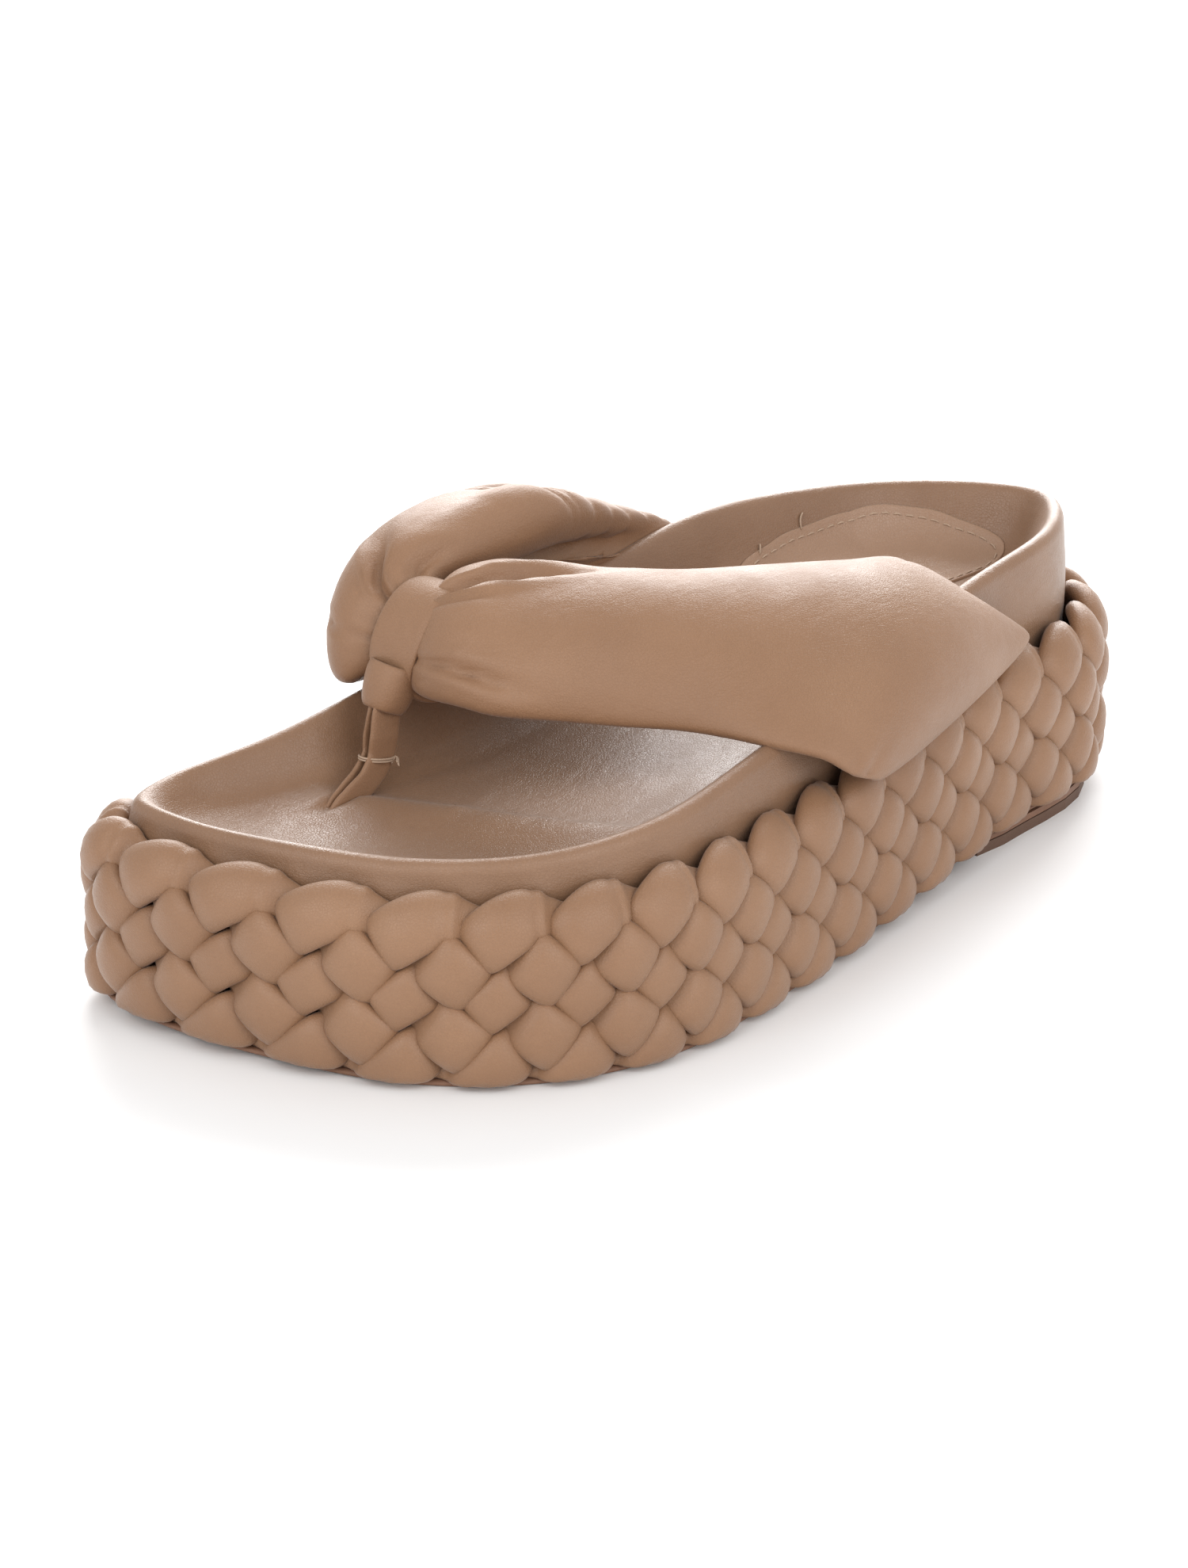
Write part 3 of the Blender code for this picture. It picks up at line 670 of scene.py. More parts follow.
def ring_points(count, inset):
    """A ring inside the plan; past the wall its points head for the middle line."""
    s = plan.stations(count)
    ring = plan.at(s) - plan.out(s, SMOOTH_REACH) * min(inset, WALL_INSET)
    window = np.hanning(2 * CORNER_ROUNDING + 3)[1:-1]
    window /= window.sum()
    rounded = sum(
        weight * np.roll(ring, k - CORNER_ROUNDING, axis=0) for k, weight in enumerate(window)
    )
    share = smoothstep(*ROUNDED_INSETS, min(inset, WALL_INSET))
    share = share * smoothstep(*ROUNDED_OVER, ring[:, 1])
    ring = mix(ring, rounded, share[:, None])
    y = np.clip(ring[:, 1], SPINE_TOE[1], SPINE_HEEL[1])
    share = (y - SPINE_TOE[1]) / (SPINE_HEEL[1] - SPINE_TOE[1])
    inward = np.stack([mix(SPINE_TOE[0], SPINE_HEEL[0], share), y], -1) - ring
    reach = np.linalg.norm(inward, axis=1, keepdims=True)
    travel = np.minimum(max(0.0, inset - WALL_INSET), reach)
    return ring + inward / reach * travel


def bowl_share(distance):
    """Share of the rim's height left, this far in from the crest."""
    fine = np.interp(BOWL_GRID, *zip(*BOWL))
    kernel = np.hanning(2 * BOWL_SOFTENING + 1)
    kernel /= kernel.sum()
    soft = np.convolve(np.pad(fine, BOWL_SOFTENING, mode="edge"), kernel, mode="valid")
    return np.interp(distance, BOWL_GRID, soft)


def bed_detail(x, y):
    """Soft relief of the bed: the toe ridge, the hollows, and a wrinkle behind the post."""
    ridge_y = RIDGE_FROM[1] + RIDGE_SLANT * np.maximum(0.0, x - RIDGE_FROM[0])
    across = (y - ridge_y) * RIDGE_TURN
    reach = np.where(across < 0.0, RIDGE_FRONT_REACH, RIDGE_BACK_REACH)
    relief = LEATHER_LIFT + RIDGE * hump(across, reach) * smoothstep(*RIDGE_FADE, x)
    for centre, reach, depth in DIMPLES:
        relief = relief - depth * hump(x - centre[0], reach[0]) * hump(y - centre[1], reach[1])
    aside = x - WRINKLE_AT[0] + WRINKLE_SLANT * (y - WRINKLE_AT[1])
    length = hump(y - WRINKLE_MIDDLE_Y, WRINKLE_HALF_LONG)
    return relief + WRINKLE * hump(aside, WRINKLE_REACH) * length


def bed_height(x, y, share):
    """Height of the bed where this share of the rim's height is left."""
    detail = bed_detail(x, y) * (1.0 - np.clip(share * 3.0, 0.0, 1.0))
    return mix(floor_height(y) + detail, crest_height(x, y), share)


def make_footbed():
    """The leather over the footbed: a wall, a rolled rim and a dished bed."""
    rings = []

    def add_ring(inset, height):
        ring = ring_points(FOOTBED_STATIONS, inset)
        rings.append(np.column_stack([ring, np.broadcast_to(height, len(ring))]))

    wall = ring_points(FOOTBED_STATIONS, WALL_INSET)
    wall_top = crest_height(wall[:, 0], wall[:, 1]) - RIM_ROUND
    for inset in HEM_INSETS:
        add_ring(inset, HEM_HEIGHT)
    for t in np.linspace(0.0, 1.0, WALL_ROWS):
        bulge = WALL_BULGE * math.sin(math.pi * min(1.0, BULGE_LOWERED * t))
        add_ring(WALL_INSET - bulge, mix(WALL_FOOT, wall_top, t))
    for k in range(1, RIM_ROWS + 1):
        turn = math.pi / 2 * k / RIM_ROWS
        inset = CREST_INSET - (CREST_INSET - WALL_INSET) * math.cos(turn)
        add_ring(inset, wall_top + RIM_ROUND * math.sin(turn))
    for inset in np.concatenate([RIM_SIDE_INSETS, FLOOR_INSETS]):
        ring = ring_points(FOOTBED_STATIONS, inset)
        add_ring(inset, bed_height(ring[:, 0], ring[:, 1], bowl_share(inset - CREST_INSET)))
    faces = grid_faces(len(rings), FOOTBED_STATIONS)
    obj = open_piece("footbed_leather_cover", rings, faces, footbed_leather, BED_WELD)
    finish_piece(obj, "tan_leather", "footbed_cover", "footbed_foam")
    return obj


footbed = make_footbed()


# ---------------------------------------------------------------- the heel sock

# The sock's outline on the heel seat, from its front edge round the medial side.
SOCK_OUTLINE = (
    (-12.0, 52.0), (-25.0, 46.0), (-36.5, 54.0), (-38.0, 68.0), (-36.8, 80.0), (-34.5, 91.5),
    (-30.5, 101.0), (-23.5, 109.0), (-16.0, 114.0), (-9.5, 117.0), (-4.8, 117.0), (-3.2, 113.0),
    (-4.4, 106.0), (-5.0, 97.0), (-4.2, 84.0), (-4.6, 68.0),
)
SOCK_LIFT = 0.75
# Its rounded edge and the furrow along the stitches: share of the outline, lift off the bed.
SOCK_EDGE = (
    (0.995, -0.3), (1.0, 0.1), (0.997, 0.45), (0.985, 0.68), (0.96, SOCK_LIFT), (0.92, 0.62),
    (0.88, 0.72),
)
SOCK_INNER = tuple((share / 10.0, SOCK_LIFT) for share in range(8, -1, -1))
STITCH_ROW = 0.93
STITCH_PITCH = 3.1
STITCH_LENGTH = 2.3
STITCH_ARCH = 0.22
STITCH_LIFT = 0.72
STITCH_RADIUS = 0.22
# The loose thread ends at the sock's medial edge: where each starts, and its length.
LOOSE_ENDS = ((-37.2, 63.0, 2.6), (-36.6, 77.5, 3.2))
LOOSE_LIFT = 0.7
LOOSE_ARCH = 0.9
LOOSE_HEADING = (-0.45, 0.5)
LOOSE_WANDER = 0.5
THREAD_SIDES = 8


def surface_finder(obj):
    """Looks straight down on a finished piece: the height under plan points."""
    tree = BVHTree.FromObject(obj, bpy.context.evaluated_depsgraph_get())

    def height(x, y):
        start = Vector((x + TO_MIDDLE[0], y + TO_MIDDLE[1], 200.0)) * MM
        return tree.ray_cast(start, Vector((0.0, 0.0, -1.0)))[0].z / MM

    return lambda xs, ys: np.array([height(x, y) for x, y in zip(xs, ys)])


def thread_rings(points, radius):
    """Rings of points round a short thread with rounded ends."""
    path = np.array(points, float)
    tangent = np.gradient(path, axis=0)
    tangent /= np.linalg.norm(tangent, axis=1, keepdims=True)
    side = np.cross(tangent, (0.0, 0.0, 1.0))
    side /= np.linalg.norm(side, axis=1, keepdims=True)
    up = np.cross(side, tangent)
    psi = 2 * np.pi * np.arange(THREAD_SIDES) / THREAD_SIDES
    ends = np.sqrt(np.clip(1.0 - np.linspace(-1.0, 1.0, len(path)) ** 8, 0.03, 1.0))
    ring = side[:, None] * np.cos(psi)[None, :, None] + up[:, None] * np.sin(psi)[None, :, None]
    return path[:, None] + ring * radius * ends[:, None, None]


def make_threads(name, paths, radius, *nodes):
    """Many short threads as one piece."""
    points, faces, start = [], [], 0
    for path in paths:
        rings = thread_rings(path, radius)
        rows = len(rings)
        points.append(rings.reshape(-1, 3))
        faces += grid_faces(rows, THREAD_SIDES, start=start)
        faces += end_faces(rows, THREAD_SIDES, start)
        start += rows * THREAD_SIDES
    obj = closed_piece(name, np.concatenate(points), faces, thread_nylon)
    finish_piece(obj, "tan_leather", *nodes)


def make_sock(height):
    """A thin leather pad that lies on the heel seat."""
    outline = closed_spline(SOCK_OUTLINE, 16)
    centre = outline.mean(axis=0)
    rings = []
    for share, lift in SOCK_EDGE + SOCK_INNER:
        ring = centre + (outline - centre) * share
        rings.append(np.column_stack([ring, height(ring[:, 0], ring[:, 1]) + lift]))
    faces = grid_faces(len(rings), len(outline))
    obj = open_piece("heel_sock_leather", rings, faces, sock_leather)
    finish_piece(obj, "tan_leather", "heel_pad")
    return centre + (outline - centre) * STITCH_ROW


def make_stitches(row, height):
    """Short stitches along the sock's edge, and two loose ends of thread."""
    row = np.vstack([row, row[:1]])
    travelled = arc_lengths(row)
    paths = []
    for k in range(int(travelled[-1] / STITCH_PITCH)):
        at = k * STITCH_PITCH + np.linspace(0.0, STITCH_LENGTH, 6)
        x, y = (np.interp(at, travelled, row[:, axis]) for axis in (0, 1))
        arch = STITCH_ARCH * np.sin(np.linspace(0.0, math.pi, 6))
        paths.append(np.column_stack([x, y, height(x, y) + STITCH_LIFT + arch]))
    random_draws = np.random.default_rng(7)
    for x, y, length in LOOSE_ENDS:
        t = np.linspace(0.0, 1.0, 9)
        wander = random_draws.normal(0.0, LOOSE_WANDER, 2)
        x = x + length * LOOSE_HEADING[0] * t + wander[0] * np.sin(3 * t)
        y = y + length * LOOSE_HEADING[1] * t + wander[1] * np.sin(4 * t)
        z = height(x, y) + LOOSE_LIFT + LOOSE_ARCH * np.sin(math.pi * t)
        paths.append(np.column_stack([x, y, z]))
    make_threads("heel_sock_stitches", paths, STITCH_RADIUS, "heel_pad")


bed_under = surface_finder(footbed)
make_stitches(make_sock(bed_under), bed_under)


# ---------------------------------------------------------------- the straps

LATERAL_SIDE = 1
MEDIAL_SIDE = -1
EDGE_STATIONS = 1200


def edge_point(side, y, inset, z):
    """A point this far inside the platform's edge and this high above the sole."""
    s = plan.stations(EDGE_STATIONS)
    out = plan.out(s, BRAID_REACH)
    ring = plan.at(s) - out * inset
    on_side = out[:, 0] * side > 0.2
    best = np.argmin(np.where(on_side, np.abs(ring[:, 1] - y), np.inf))
    return (ring[best, 0], y, z + float(sole_bottom(y)))


def slit_row(side, inset, heights, ys, half_thick):
    """A row of the strap where it goes down between the braid and the footbed's wall."""
    edges = (edge_point(side, y, i, z) for y, i, z in zip(ys, inset, heights))
    return (*edges, half_thick)


# Each row: the strap's lower edge, middle and upper edge, and half its thickness there.
LATERAL = (
    slit_row(LATERAL_SIDE, (10.2, 10.2, 10.2), (33, 33, 34), (6, 38, 72), 1.0),
    slit_row(LATERAL_SIDE, (8.6, 8.2, 9.0), (41.5, 41.5, 44), (4, 38, 76), 1.6),
    ((54.0, 0.5, 44.2), (42.6, 38.0, 46.0), (33.5, 79.0, 51.5), 3.0),
    ((56.0, -8.0, 48.0), (45.0, 35.0, 53.5), (32.5, 75.0, 55.5), 4.0),
    ((52.5, -14.5, 53.0), (43.0, 30.0, 62.5), (28.5, 61.5, 64.5), 4.6),
    ((44.0, -21.0, 55.0), (37.5, 20.0, 69.5), (18.5, 49.5, 73.0), 4.9),
    ((35.5, -25.5, 56.0), (30.0, 7.0, 73.0), (15.5, 34.0, 75.0), 5.0),
    ((27.0, -31.5, 57.0), (22.0, -6.0, 74.5), (8.0, 17.0, 76.0), 5.0),
    ((17.5, -41.0, 58.0), (12.0, -21.0, 75.5), (-1.5, -3.0, 77.0), 5.2),
    ((8.5, -51.0, 59.5), (1.5, -36.0, 76.5), (-12.5, -18.5, 79.0), 5.8),
    ((-0.5, -61.0, 61.0), (-7.5, -47.5, 76.5), (-20.0, -29.0, 81.5), 6.4),
    ((-8.5, -64.5, 62.0), (-14.0, -53.5, 76.5), (-24.5, -37.0, 83.0), 6.6),
    ((-17.5, -65.0, 61.5), (-19.5, -56.0, 75.5), (-26.5, -44.5, 83.0), 6.0),
    ((-24.5, -62.5, 61.0), (-24.5, -56.0, 72.5), (-28.0, -49.0, 80.5), 5.0),
    ((-29.0, -61.0, 61.5), (-29.5, -55.0, 71.5), (-31.0, -50.5, 78.0), 4.4),
)
MEDIAL = (
    slit_row(MEDIAL_SIDE, (10.2, 10.2, 10.2), (33, 33, 34), (-16, 12, 44), 1.0),
    slit_row(MEDIAL_SIDE, (9.0, 9.0, 9.0), (42, 42, 43), (-20, 12, 46), 1.6),
    ((-49.0, -28.0, 49.5), (-51.0, 12.0, 52.5), (-51.0, 50.0, 58.5), 3.2),
    ((-50.0, -36.0, 53.0), (-52.5, 4.0, 64.0), (-48.5, 44.0, 68.5), 5.2),
    ((-51.0, -46.0, 55.5), (-53.0, -9.0, 75.5), (-43.0, 22.0, 75.0), 7.4),
    ((-50.5, -55.0, 57.5), (-51.5, -24.0, 81.5), (-38.0, -1.0, 79.0), 8.8),
    ((-47.5, -62.0, 57.5), (-48.5, -40.0, 82.5), (-35.5, -20.0, 79.5), 8.6),
    ((-43.5, -66.0, 58.8), (-45.0, -52.0, 81.0), (-34.0, -34.5, 81.0), 7.6),
    ((-39.5, -67.5, 60.5), (-40.5, -58.5, 76.5), (-33.5, -45.5, 80.5), 6.0),
    ((-34.0, -62.5, 64.5), (-34.0, -57.5, 73.5), (-31.5, -49.5, 79.0), 4.6),
    ((-28.0, -59.0, 67.0), (-28.5, -55.0, 73.0), (-28.5, -50.5, 77.5), 3.4),
)
# Gathers run out of the knot: where each ends (share along, share up), where it starts at
# the knot (share up), its depth in millimetres and its width as a share of the strap.
LATERAL_GATHERS = (
    (0.68, 0.89, 0.63, 7.0, 0.034), (0.84, 0.60, 0.56, 2.6, 0.016),
    (0.76, 0.08, 0.25, 3.4, 0.022), (0.90, 0.80, 0.62, 1.0, 0.014),
    (0.91, 0.42, 0.42, 0.8, 0.014), (0.80, 0.72, 0.61, 1.0, 0.012),
)
MEDIAL_GATHERS = (
    (0.74, 0.54, 0.60, 7.5, 0.022), (0.80, 0.92, 0.80, 3.0, 0.035),
    (0.74, 0.18, 0.28, 1.6, 0.012), (0.86, 0.50, 0.48, 1.4, 0.018),
    (0.84, 0.82, 0.70, 1.2, 0.016), (0.88, 0.38, 0.40, 1.2, 0.016),
)
# Folds run across the strap: where each is (share along, share up), how it slants, its
# depth in millimetres, and its width and length as shares of the strap.
LATERAL_FOLDS = (
    (0.14, 0.03, 0.3, 1.0, 0.008, 0.10), (0.17, 0.02, 0.4, 0.8, 0.008, 0.08),
    (0.30, 0.97, -0.2, 0.7, 0.01, 0.08),
)
MEDIAL_FOLDS = (
    (0.60, 0.74, -0.12, 3.0, 0.007, 0.22), (0.575, 0.74, -0.1, 2.0, 0.006, 0.2),
    (0.50, 0.9, 0.1, 1.8, 0.012, 0.24), (0.45, 0.9, 0.1, 1.8, 0.011, 0.24),
    (0.40, 0.9, 0.1, 1.8, 0.011, 0.24), (0.35, 0.92, 0.1, 1.6, 0.011, 0.22),
    (0.30, 0.92, 0.1, 1.3, 0.01, 0.22), (0.26, 0.92, 0.1, 1.0, 0.01, 0.2),
)
# The strap's padding: how square its section is, how much fuller towards the foot, and the
# least that is left of it in a gather.
PUFF = 0.72
FULLER = 0.75
FULLER_OVER = (0.0, 0.5)
LEAST_PADDING = 0.42
# A gather is wider at its far end than at the knot. It fades under the knot's band, and
# pushes up a ridge to each side.
GATHER_SPREAD = (1.5, 0.8)
UNDER_BAND = (0.88, 0.96)
LEFT_UNDER_BAND = 0.2
RIDGE_SHARE = 0.28
RIDGE_AWAY = 2.6
STRAP_STATIONS = 190
STRAP_SIDES = 84


def gathered(swell, u, height, round_off, gathers):
    """The padding with gathers pressed into it, deepest near the knot."""
    for end_u, end_height, knot_height, depth, width in gathers:
        share = np.clip((u - end_u) / (1.0 - end_u), 0.0, 1.0)
        line = mix(end_height, knot_height, share)
        away = np.abs(height - line) / (width * mix(*GATHER_SPREAD, share))
        depth = depth * mix(1.0, LEFT_UNDER_BAND, smoothstep(*UNDER_BAND, u))
        groove = depth * np.exp(-away) * smoothstep(0.0, 0.55, share) * round_off ** 0.4
        ridge = RIDGE_SHARE * depth * hump(away - RIDGE_AWAY, 1.0)
        swell = swell - groove + ridge * smoothstep(0.0, 0.7, share) * round_off
    return swell


def folded(swell, u, height, round_off, folds):
    """The padding with folds pressed into it."""
    for at_u, at_height, slant, depth, width, length in folds:
        line = at_u + slant * (height - at_height)
        fade = hump(height - at_height, length) * round_off ** 0.3
        swell = swell - depth * np.exp(-np.abs(u - line) / width) * fade
    return swell


def make_strap(name, rows, gathers, folds, nodes, foot_side=0.0):
    """A puffy strap through its rows, gathered towards the knot, with soft folds across it.

    With foot_side (+1 or -1 along x) its padding is fuller on the side of the foot."""
    fine = np.linspace(0.0, len(rows) - 1, 800)
    travelled = arc_lengths(open_spline([row[1] for row in rows], fine))
    places = np.interp(np.linspace(0.0, travelled[-1], STRAP_STATIONS), travelled, fine)
    low, mid, high = (open_spline([row[k] for row in rows], places)[:, None] for k in range(3))
    half = open_spline([[row[3]] for row in rows], places)

    def section(t):
        return low * (1 - t) * (1 - 2 * t) + mid * 4 * t * (1 - t) + high * t * (2 * t - 1)

    psi = 2 * np.pi * np.arange(STRAP_SIDES) / STRAP_SIDES
    t = (0.5 - 0.5 * np.cos(psi))[None, :, None]
    height = t[..., 0]
    u = np.linspace(0.0, 1.0, STRAP_STATIONS)[:, None]
    middle = section(t)
    normal = np.cross(np.gradient(middle, axis=0), section(t + 0.01) - section(t - 0.01))
    normal /= np.linalg.norm(normal, axis=-1, keepdims=True) + 1e-12
    face_side = np.sign(np.sin(psi))[None, :]
    round_off = np.abs(np.sin(psi))[None, :]

    swell = half * round_off ** PUFF
    fuller = smoothstep(*FULLER_OVER, normal[..., 0] * foot_side * face_side)
    fuller = fuller * smoothstep(0.9, 0.6, u) * smoothstep(0.05, 0.25, u)
    swell = swell * (1.0 + FULLER * fuller)
    swell = gathered(swell, u, height, round_off, gathers)
    swell = folded(swell, u, height, round_off, folds)
    swell = np.maximum(swell, LEAST_PADDING * half * round_off)
    points = middle + normal * (face_side * swell)[..., None]

    faces = grid_faces(STRAP_STATIONS, STRAP_SIDES) + end_faces(STRAP_STATIONS, STRAP_SIDES)
    obj = closed_piece(name, points, faces, strap_leather)
    finish_piece(obj, "tan_leather", *nodes)


make_strap(
    "lateral_padded_strap", LATERAL, LATERAL_GATHERS, LATERAL_FOLDS,
    ("lateral_strap_cover", "lateral_strap_padding"),
)
make_strap(
    "medial_padded_strap", MEDIAL, MEDIAL_GATHERS, MEDIAL_FOLDS,
    ("medial_strap_cover", "medial_strap_padding"), foot_side=1.0,
)


# ---------------------------------------------------------------- the knot and the thong

RIBBON_SIDES = 22
# The band loops round the straps' ends and slants back towards its top.
KNOT = np.array((-27.0, -54.2, 71.2))
KNOT_UP = unit((0.0, 0.478, 0.878))
KNOT_BACK = unit((0.0, 0.878, -0.478))
BAND_ACROSS = unit((1.0, 0.12, -0.05))
BAND_STATIONS = 96
BAND_HALF_TALL = 12.4
BAND_LOWER = 1.2
BAND_HALF_DEEP = 9.9
BAND_SQUARE = 0.85
BAND_DRIFT = np.array((-1.2, -1.0, 0.0))
BAND_WIDE = 13.6
BAND_NARROWER_ABOVE = 1.6
BAND_NARROWER_BELOW = 3.6
BAND_THICK = 1.9
# The collar under the band is a short sleeve with turned-in lips.
COLLAR_TOP = np.array((-28.2, -64.8, 66.6))
COLLAR_BOTTOM = np.array((-28.6, -68.9, 57.2))
COLLAR_HALF_WIDE = (5.9, 4.5)
COLLAR_HALF_DEEP = (5.4, 4.7)
COLLAR_BULGE = 0.35
COLLAR_WALL = 1.5
COLLAR_LIP = 0.55
LIP_REACH = 0.07
COLLAR_SQUARE = 0.8
COLLAR_ROWS = 26
COLLAR_SIDES = 72
# The post's line from the collar down to its slot, with its width and half its gap there.
POST = (
    (-28.0, -66.6, 63.0), (-28.0, -68.8, 57.0), (-28.0, -70.0, 51.5), (-27.8, -71.4, 46.8),
    (-27.2, -76.0, 43.0), (-26.4, -81.5, 40.3), (-26.0, -84.5, 37.6), (-26.0, -85.0, 33.0),
)
POST_WIDE = (7.0, 8.2, 8.4, 8.0, 6.6, 6.8, 8.2, 8.2)
POST_HALF_GAP = (0.85, 1.0, 1.5, 1.15, 1.5, 1.15, 0.85, 0.85)
POST_STATIONS = 70
PLY_THICK = 1.5
PLY_APART = np.array((1.0, -0.25, 0.0))
# The whipping: two turns of thread round the post, and three frayed ends.
WHIPPING = np.array((-27.9, -71.6, 46.9))
WHIPPING_ALONG = unit((0.1, 0.94, -0.2))
WHIPPING_HALF_WIDE = 4.6
WHIPPING_HALF_THICK = 2.9
WHIPPING_TURNS = (-0.3, 0.25)
WHIPPING_ARC = np.linspace(-0.6, math.pi + 0.9, 26)
WHIPPING_RADIUS = 0.24
# Each frayed end: its length, how far it leans out, and how far it drops.
FRAYED_ENDS = ((3.6, 0.7, 0.5), (3.0, 1.0, 1.2), (2.4, 0.2, 1.4))


def make_ribbon(name, path, wide_axes, widths, thick, closed, node):
    """A thick strip of leather with rounded edges along a path."""
    count = len(path)
    if closed:
        tangent = np.roll(path, -1, 0) - np.roll(path, 1, 0)
    else:
        tangent = np.gradient(path, axis=0)
    tangent /= np.linalg.norm(tangent, axis=1, keepdims=True)
    wide = np.broadcast_to(wide_axes, path.shape)
    wide = wide - tangent * (wide * tangent).sum(1, keepdims=True)
    wide = wide / np.linalg.norm(wide, axis=1, keepdims=True)
    deep = np.cross(tangent, wide)
    psi = 2 * np.pi * (np.arange(RIBBON_SIDES) + 0.5) / RIBBON_SIDES
    aside = signed_power(np.cos(psi), 0.55)[None, :] * widths[:, None] / 2
    out = (signed_power(np.sin(psi), 0.7) * thick / 2)[None, :]
    points = path[:, None] + wide[:, None] * aside[..., None] + deep[:, None] * out[..., None]
    faces = grid_faces(count, RIBBON_SIDES, closed)
    if not closed:
        faces += end_faces(count, RIBBON_SIDES)
    finish_piece(closed_piece(name, points, faces, strap_leather), "tan_leather", node)


def make_knot_band():
    turn = 2 * np.pi * np.arange(BAND_STATIONS) / BAND_STATIONS
    high = signed_power(np.sin(turn), BAND_SQUARE)
    deep = signed_power(np.cos(turn), BAND_SQUARE)
    path = KNOT + KNOT_UP * (BAND_HALF_TALL * high - BAND_LOWER)[:, None]
    path = path - KNOT_BACK * (BAND_HALF_DEEP * deep)[:, None]
    path = path + BAND_DRIFT * ((0.5 - 0.5 * high) ** 1.5)[:, None]
    widths = BAND_WIDE - BAND_NARROWER_ABOVE * np.maximum(high, 0.0) ** 2
    widths = widths - BAND_NARROWER_BELOW * np.maximum(-high, 0.0) ** 2
    make_ribbon("knot_band_leather", path, BAND_ACROSS, widths, BAND_THICK, True, "knot_band")


def make_knot_collar():
    axis = unit(COLLAR_BOTTOM - COLLAR_TOP)
    side = unit(np.cross(axis, (0.0, 1.0, 0.0)))
    front = unit(np.cross(axis, side))
    turn = 2 * np.pi * np.arange(COLLAR_SIDES) / COLLAR_SIDES
    aside = side * signed_power(np.cos(turn), COLLAR_SQUARE)[:, None]
    ahead = front * signed_power(np.sin(turn), COLLAR_SQUARE)[:, None]
    down = np.linspace(0.0, 1.0, COLLAR_ROWS)
    outside = [(t, 0.0, 1.0) for t in down]
    inside = [(t, COLLAR_WALL, -1.0) for t in down[::-1]]
    rings = []
    for t, wall, lip_side in outside + inside:
        lip = COLLAR_LIP * (math.exp(-t / LIP_REACH) + math.exp(-(1.0 - t) / LIP_REACH))
        more = COLLAR_BULGE * math.sin(math.pi * t) - wall - lip_side * lip
        half_wide, half_deep = mix(*COLLAR_HALF_WIDE, t) + more, mix(*COLLAR_HALF_DEEP, t) + more
        rings.append(mix(COLLAR_TOP, COLLAR_BOTTOM, t) + aside * half_wide + ahead * half_deep)
    faces = grid_faces(len(rings), COLLAR_SIDES, closed=True)
    obj = closed_piece("knot_collar_leather", rings, faces, strap_leather)
    finish_piece(obj, "tan_leather", "knot_collar")


def make_toe_post():
    """Two plies side by side between the toes: down from the collar, then on to the slot."""
    rows = np.arange(len(POST))
    places = np.linspace(0.0, len(POST) - 1.0, POST_STATIONS)
    path = open_spline(POST, places)
    widths = np.interp(places, rows, POST_WIDE)
    half_gap = np.interp(places, rows, POST_HALF_GAP)[:, None]
    wide = np.cross(np.gradient(path, axis=0), (1.0, 0.0, 0.0))
    for name, side, node in (
        ("toe_post_outer_ply", 1.0, "toe_post_front"),
        ("toe_post_inner_ply", -1.0, "toe_post_back"),
    ):
        ply = path + side * PLY_APART * half_gap
        make_ribbon(name, ply, wide, widths, PLY_THICK, False, node)


def make_whipping():
    """The thread that holds the two plies together, with its frayed ends."""
    paths = []
    for rise in WHIPPING_TURNS:
        x = WHIPPING[0] + WHIPPING_HALF_THICK * np.sin(WHIPPING_ARC)
        forward = WHIPPING_HALF_WIDE * np.cos(WHIPPING_ARC)
        y = WHIPPING[1] + WHIPPING_ALONG[1] * forward
        z = WHIPPING[2] + WHIPPING_ALONG[2] * forward + rise
        paths.append(np.column_stack([x, y, z]))
    for length, lean, drop in FRAYED_ENDS:
        t = np.linspace(0.0, 1.0, 9)
        x = WHIPPING[0] + 0.7 * WHIPPING_HALF_THICK + length * lean * t
        y = WHIPPING[1] + 3.4 - 0.8 * t + 0.4 * np.sin(5 * t)
        z = WHIPPING[2] - 0.2 - drop * t * t
        paths.append(np.column_stack([x, y, z]))
    make_threads("toe_post_thread", paths, WHIPPING_RADIUS, "toe_post_front", "toe_post_back")


make_knot_band()
make_knot_collar()
make_toe_post()
make_whipping()


# ---------------------------------------------------------------- carried-over pieces

def dress(node, material):
    """Gives a carried-over CAD piece its finished material."""
    for slot in bpy.data.objects[node].material_slots:
        slot.material = material


dress("heel_lift", sole_leather)
dress("heel_top_piece", sole_rubber)
dress("platform_core", cork)
dress("insole_board", fibre_board)
dress("toe_post_anchor", foam)


# ---------------------------------------------------------------- studio (metres)

FLOOR_HALF = 4000.0
WORLD_LIGHT = 0.74
LIGHTS_AIM = Vector((0.0, 0.0, 0.04))
# Each lamp: its place, size and power.
LIGHTS = {
    "key": ((0.2, -1.5, 1.0), 1.2, 13.0),
    "side": ((1.35, -0.1, 0.8), 1.2, 11.0),
    "back": ((-1.05, 1.25, 0.95), 1.5, 60.0),
}
CAMERA_AZIMUTH = math.radians(44.5)
CAMERA_ELEVATION = math.radians(24.0)
CAMERA_DISTANCE = 0.9
CAMERA_TARGET = Vector((-0.0042, -0.01937, 0.0))
CAMERA_LENS = 118.3
CAMERA_SHIFT = (-0.0205, 0.1057)


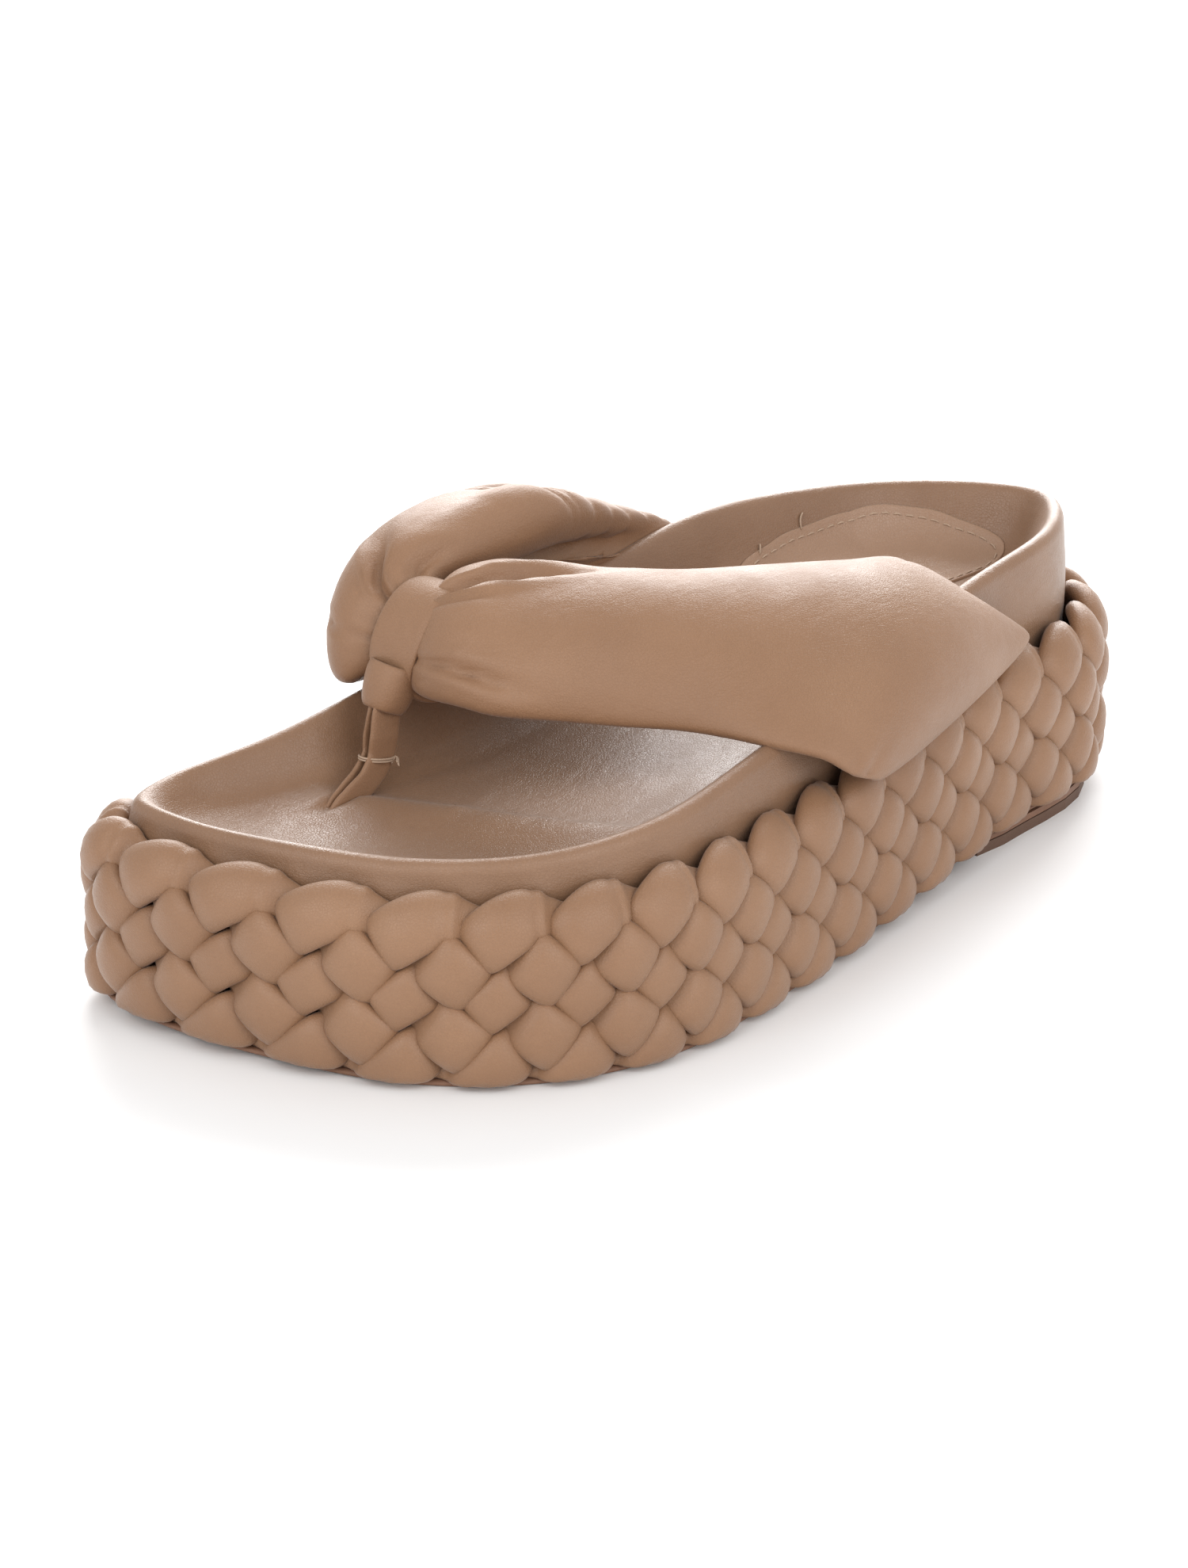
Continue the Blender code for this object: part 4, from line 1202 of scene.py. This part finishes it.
def make_floor():
    """A wide sheet of pale paper."""
    corners = ((-1, -1), (1, -1), (1, 1), (-1, 1))
    points = [(x * FLOOR_HALF, y * FLOOR_HALF, 0.0) for x, y in corners]
    paper = Nodes("floor_paper")
    tint = paper.colours(paper.noise(3.0), (0.86, 0.86, 0.865), (0.88, 0.88, 0.88))
    paper.join(tint, paper.shader.inputs["Base Color"])
    paper.shader.inputs["Roughness"].default_value = 0.8
    mesh = mesh_from("floor", points, [(0, 1, 2, 3)])
    new_object("studio_floor", mesh, paper.material, smooth=False)


def make_lights():
    """Soft light from all round, and three lamps, the strongest from behind."""
    world = bpy.data.worlds.new("studio")
    world.use_nodes = True
    sky = world.node_tree.nodes["Background"]
    sky.inputs["Color"].default_value = (1.0, 1.0, 1.0, 1.0)
    sky.inputs["Strength"].default_value = WORLD_LIGHT
    bpy.context.scene.world = world
    for name, (place, size, power) in LIGHTS.items():
        light = bpy.data.lights.new(name, "AREA")
        light.size = size
        light.energy = power
        obj = bpy.data.objects.new(name, light)
        obj.location = place
        obj.rotation_euler = (LIGHTS_AIM - Vector(place)).to_track_quat("-Z", "Y").to_euler()
        bpy.context.scene.collection.objects.link(obj)


def make_camera():
    """The photograph's view, from the toe and the lateral side, a little above."""
    flat = math.cos(CAMERA_ELEVATION)
    back = Vector((
        math.sin(CAMERA_AZIMUTH) * flat, -math.cos(CAMERA_AZIMUTH) * flat,
        math.sin(CAMERA_ELEVATION),
    ))
    right = Vector((math.cos(CAMERA_AZIMUTH), math.sin(CAMERA_AZIMUTH), 0.0))
    place = Matrix((right, back.cross(right), back)).transposed().to_4x4()
    place.translation = CAMERA_TARGET + back * CAMERA_DISTANCE
    data = bpy.data.cameras.new("photo_camera")
    data.sensor_fit = "HORIZONTAL"
    data.sensor_width = 36.0
    data.lens = CAMERA_LENS
    data.shift_x, data.shift_y = CAMERA_SHIFT
    data.clip_start = 0.01
    obj = bpy.data.objects.new("photo_camera", data)
    bpy.context.scene.collection.objects.link(obj)
    obj.matrix_world = place
    bpy.context.scene.camera = obj


make_floor()
make_lights()
make_camera()
bpy.context.scene.view_settings.view_transform = "Standard"
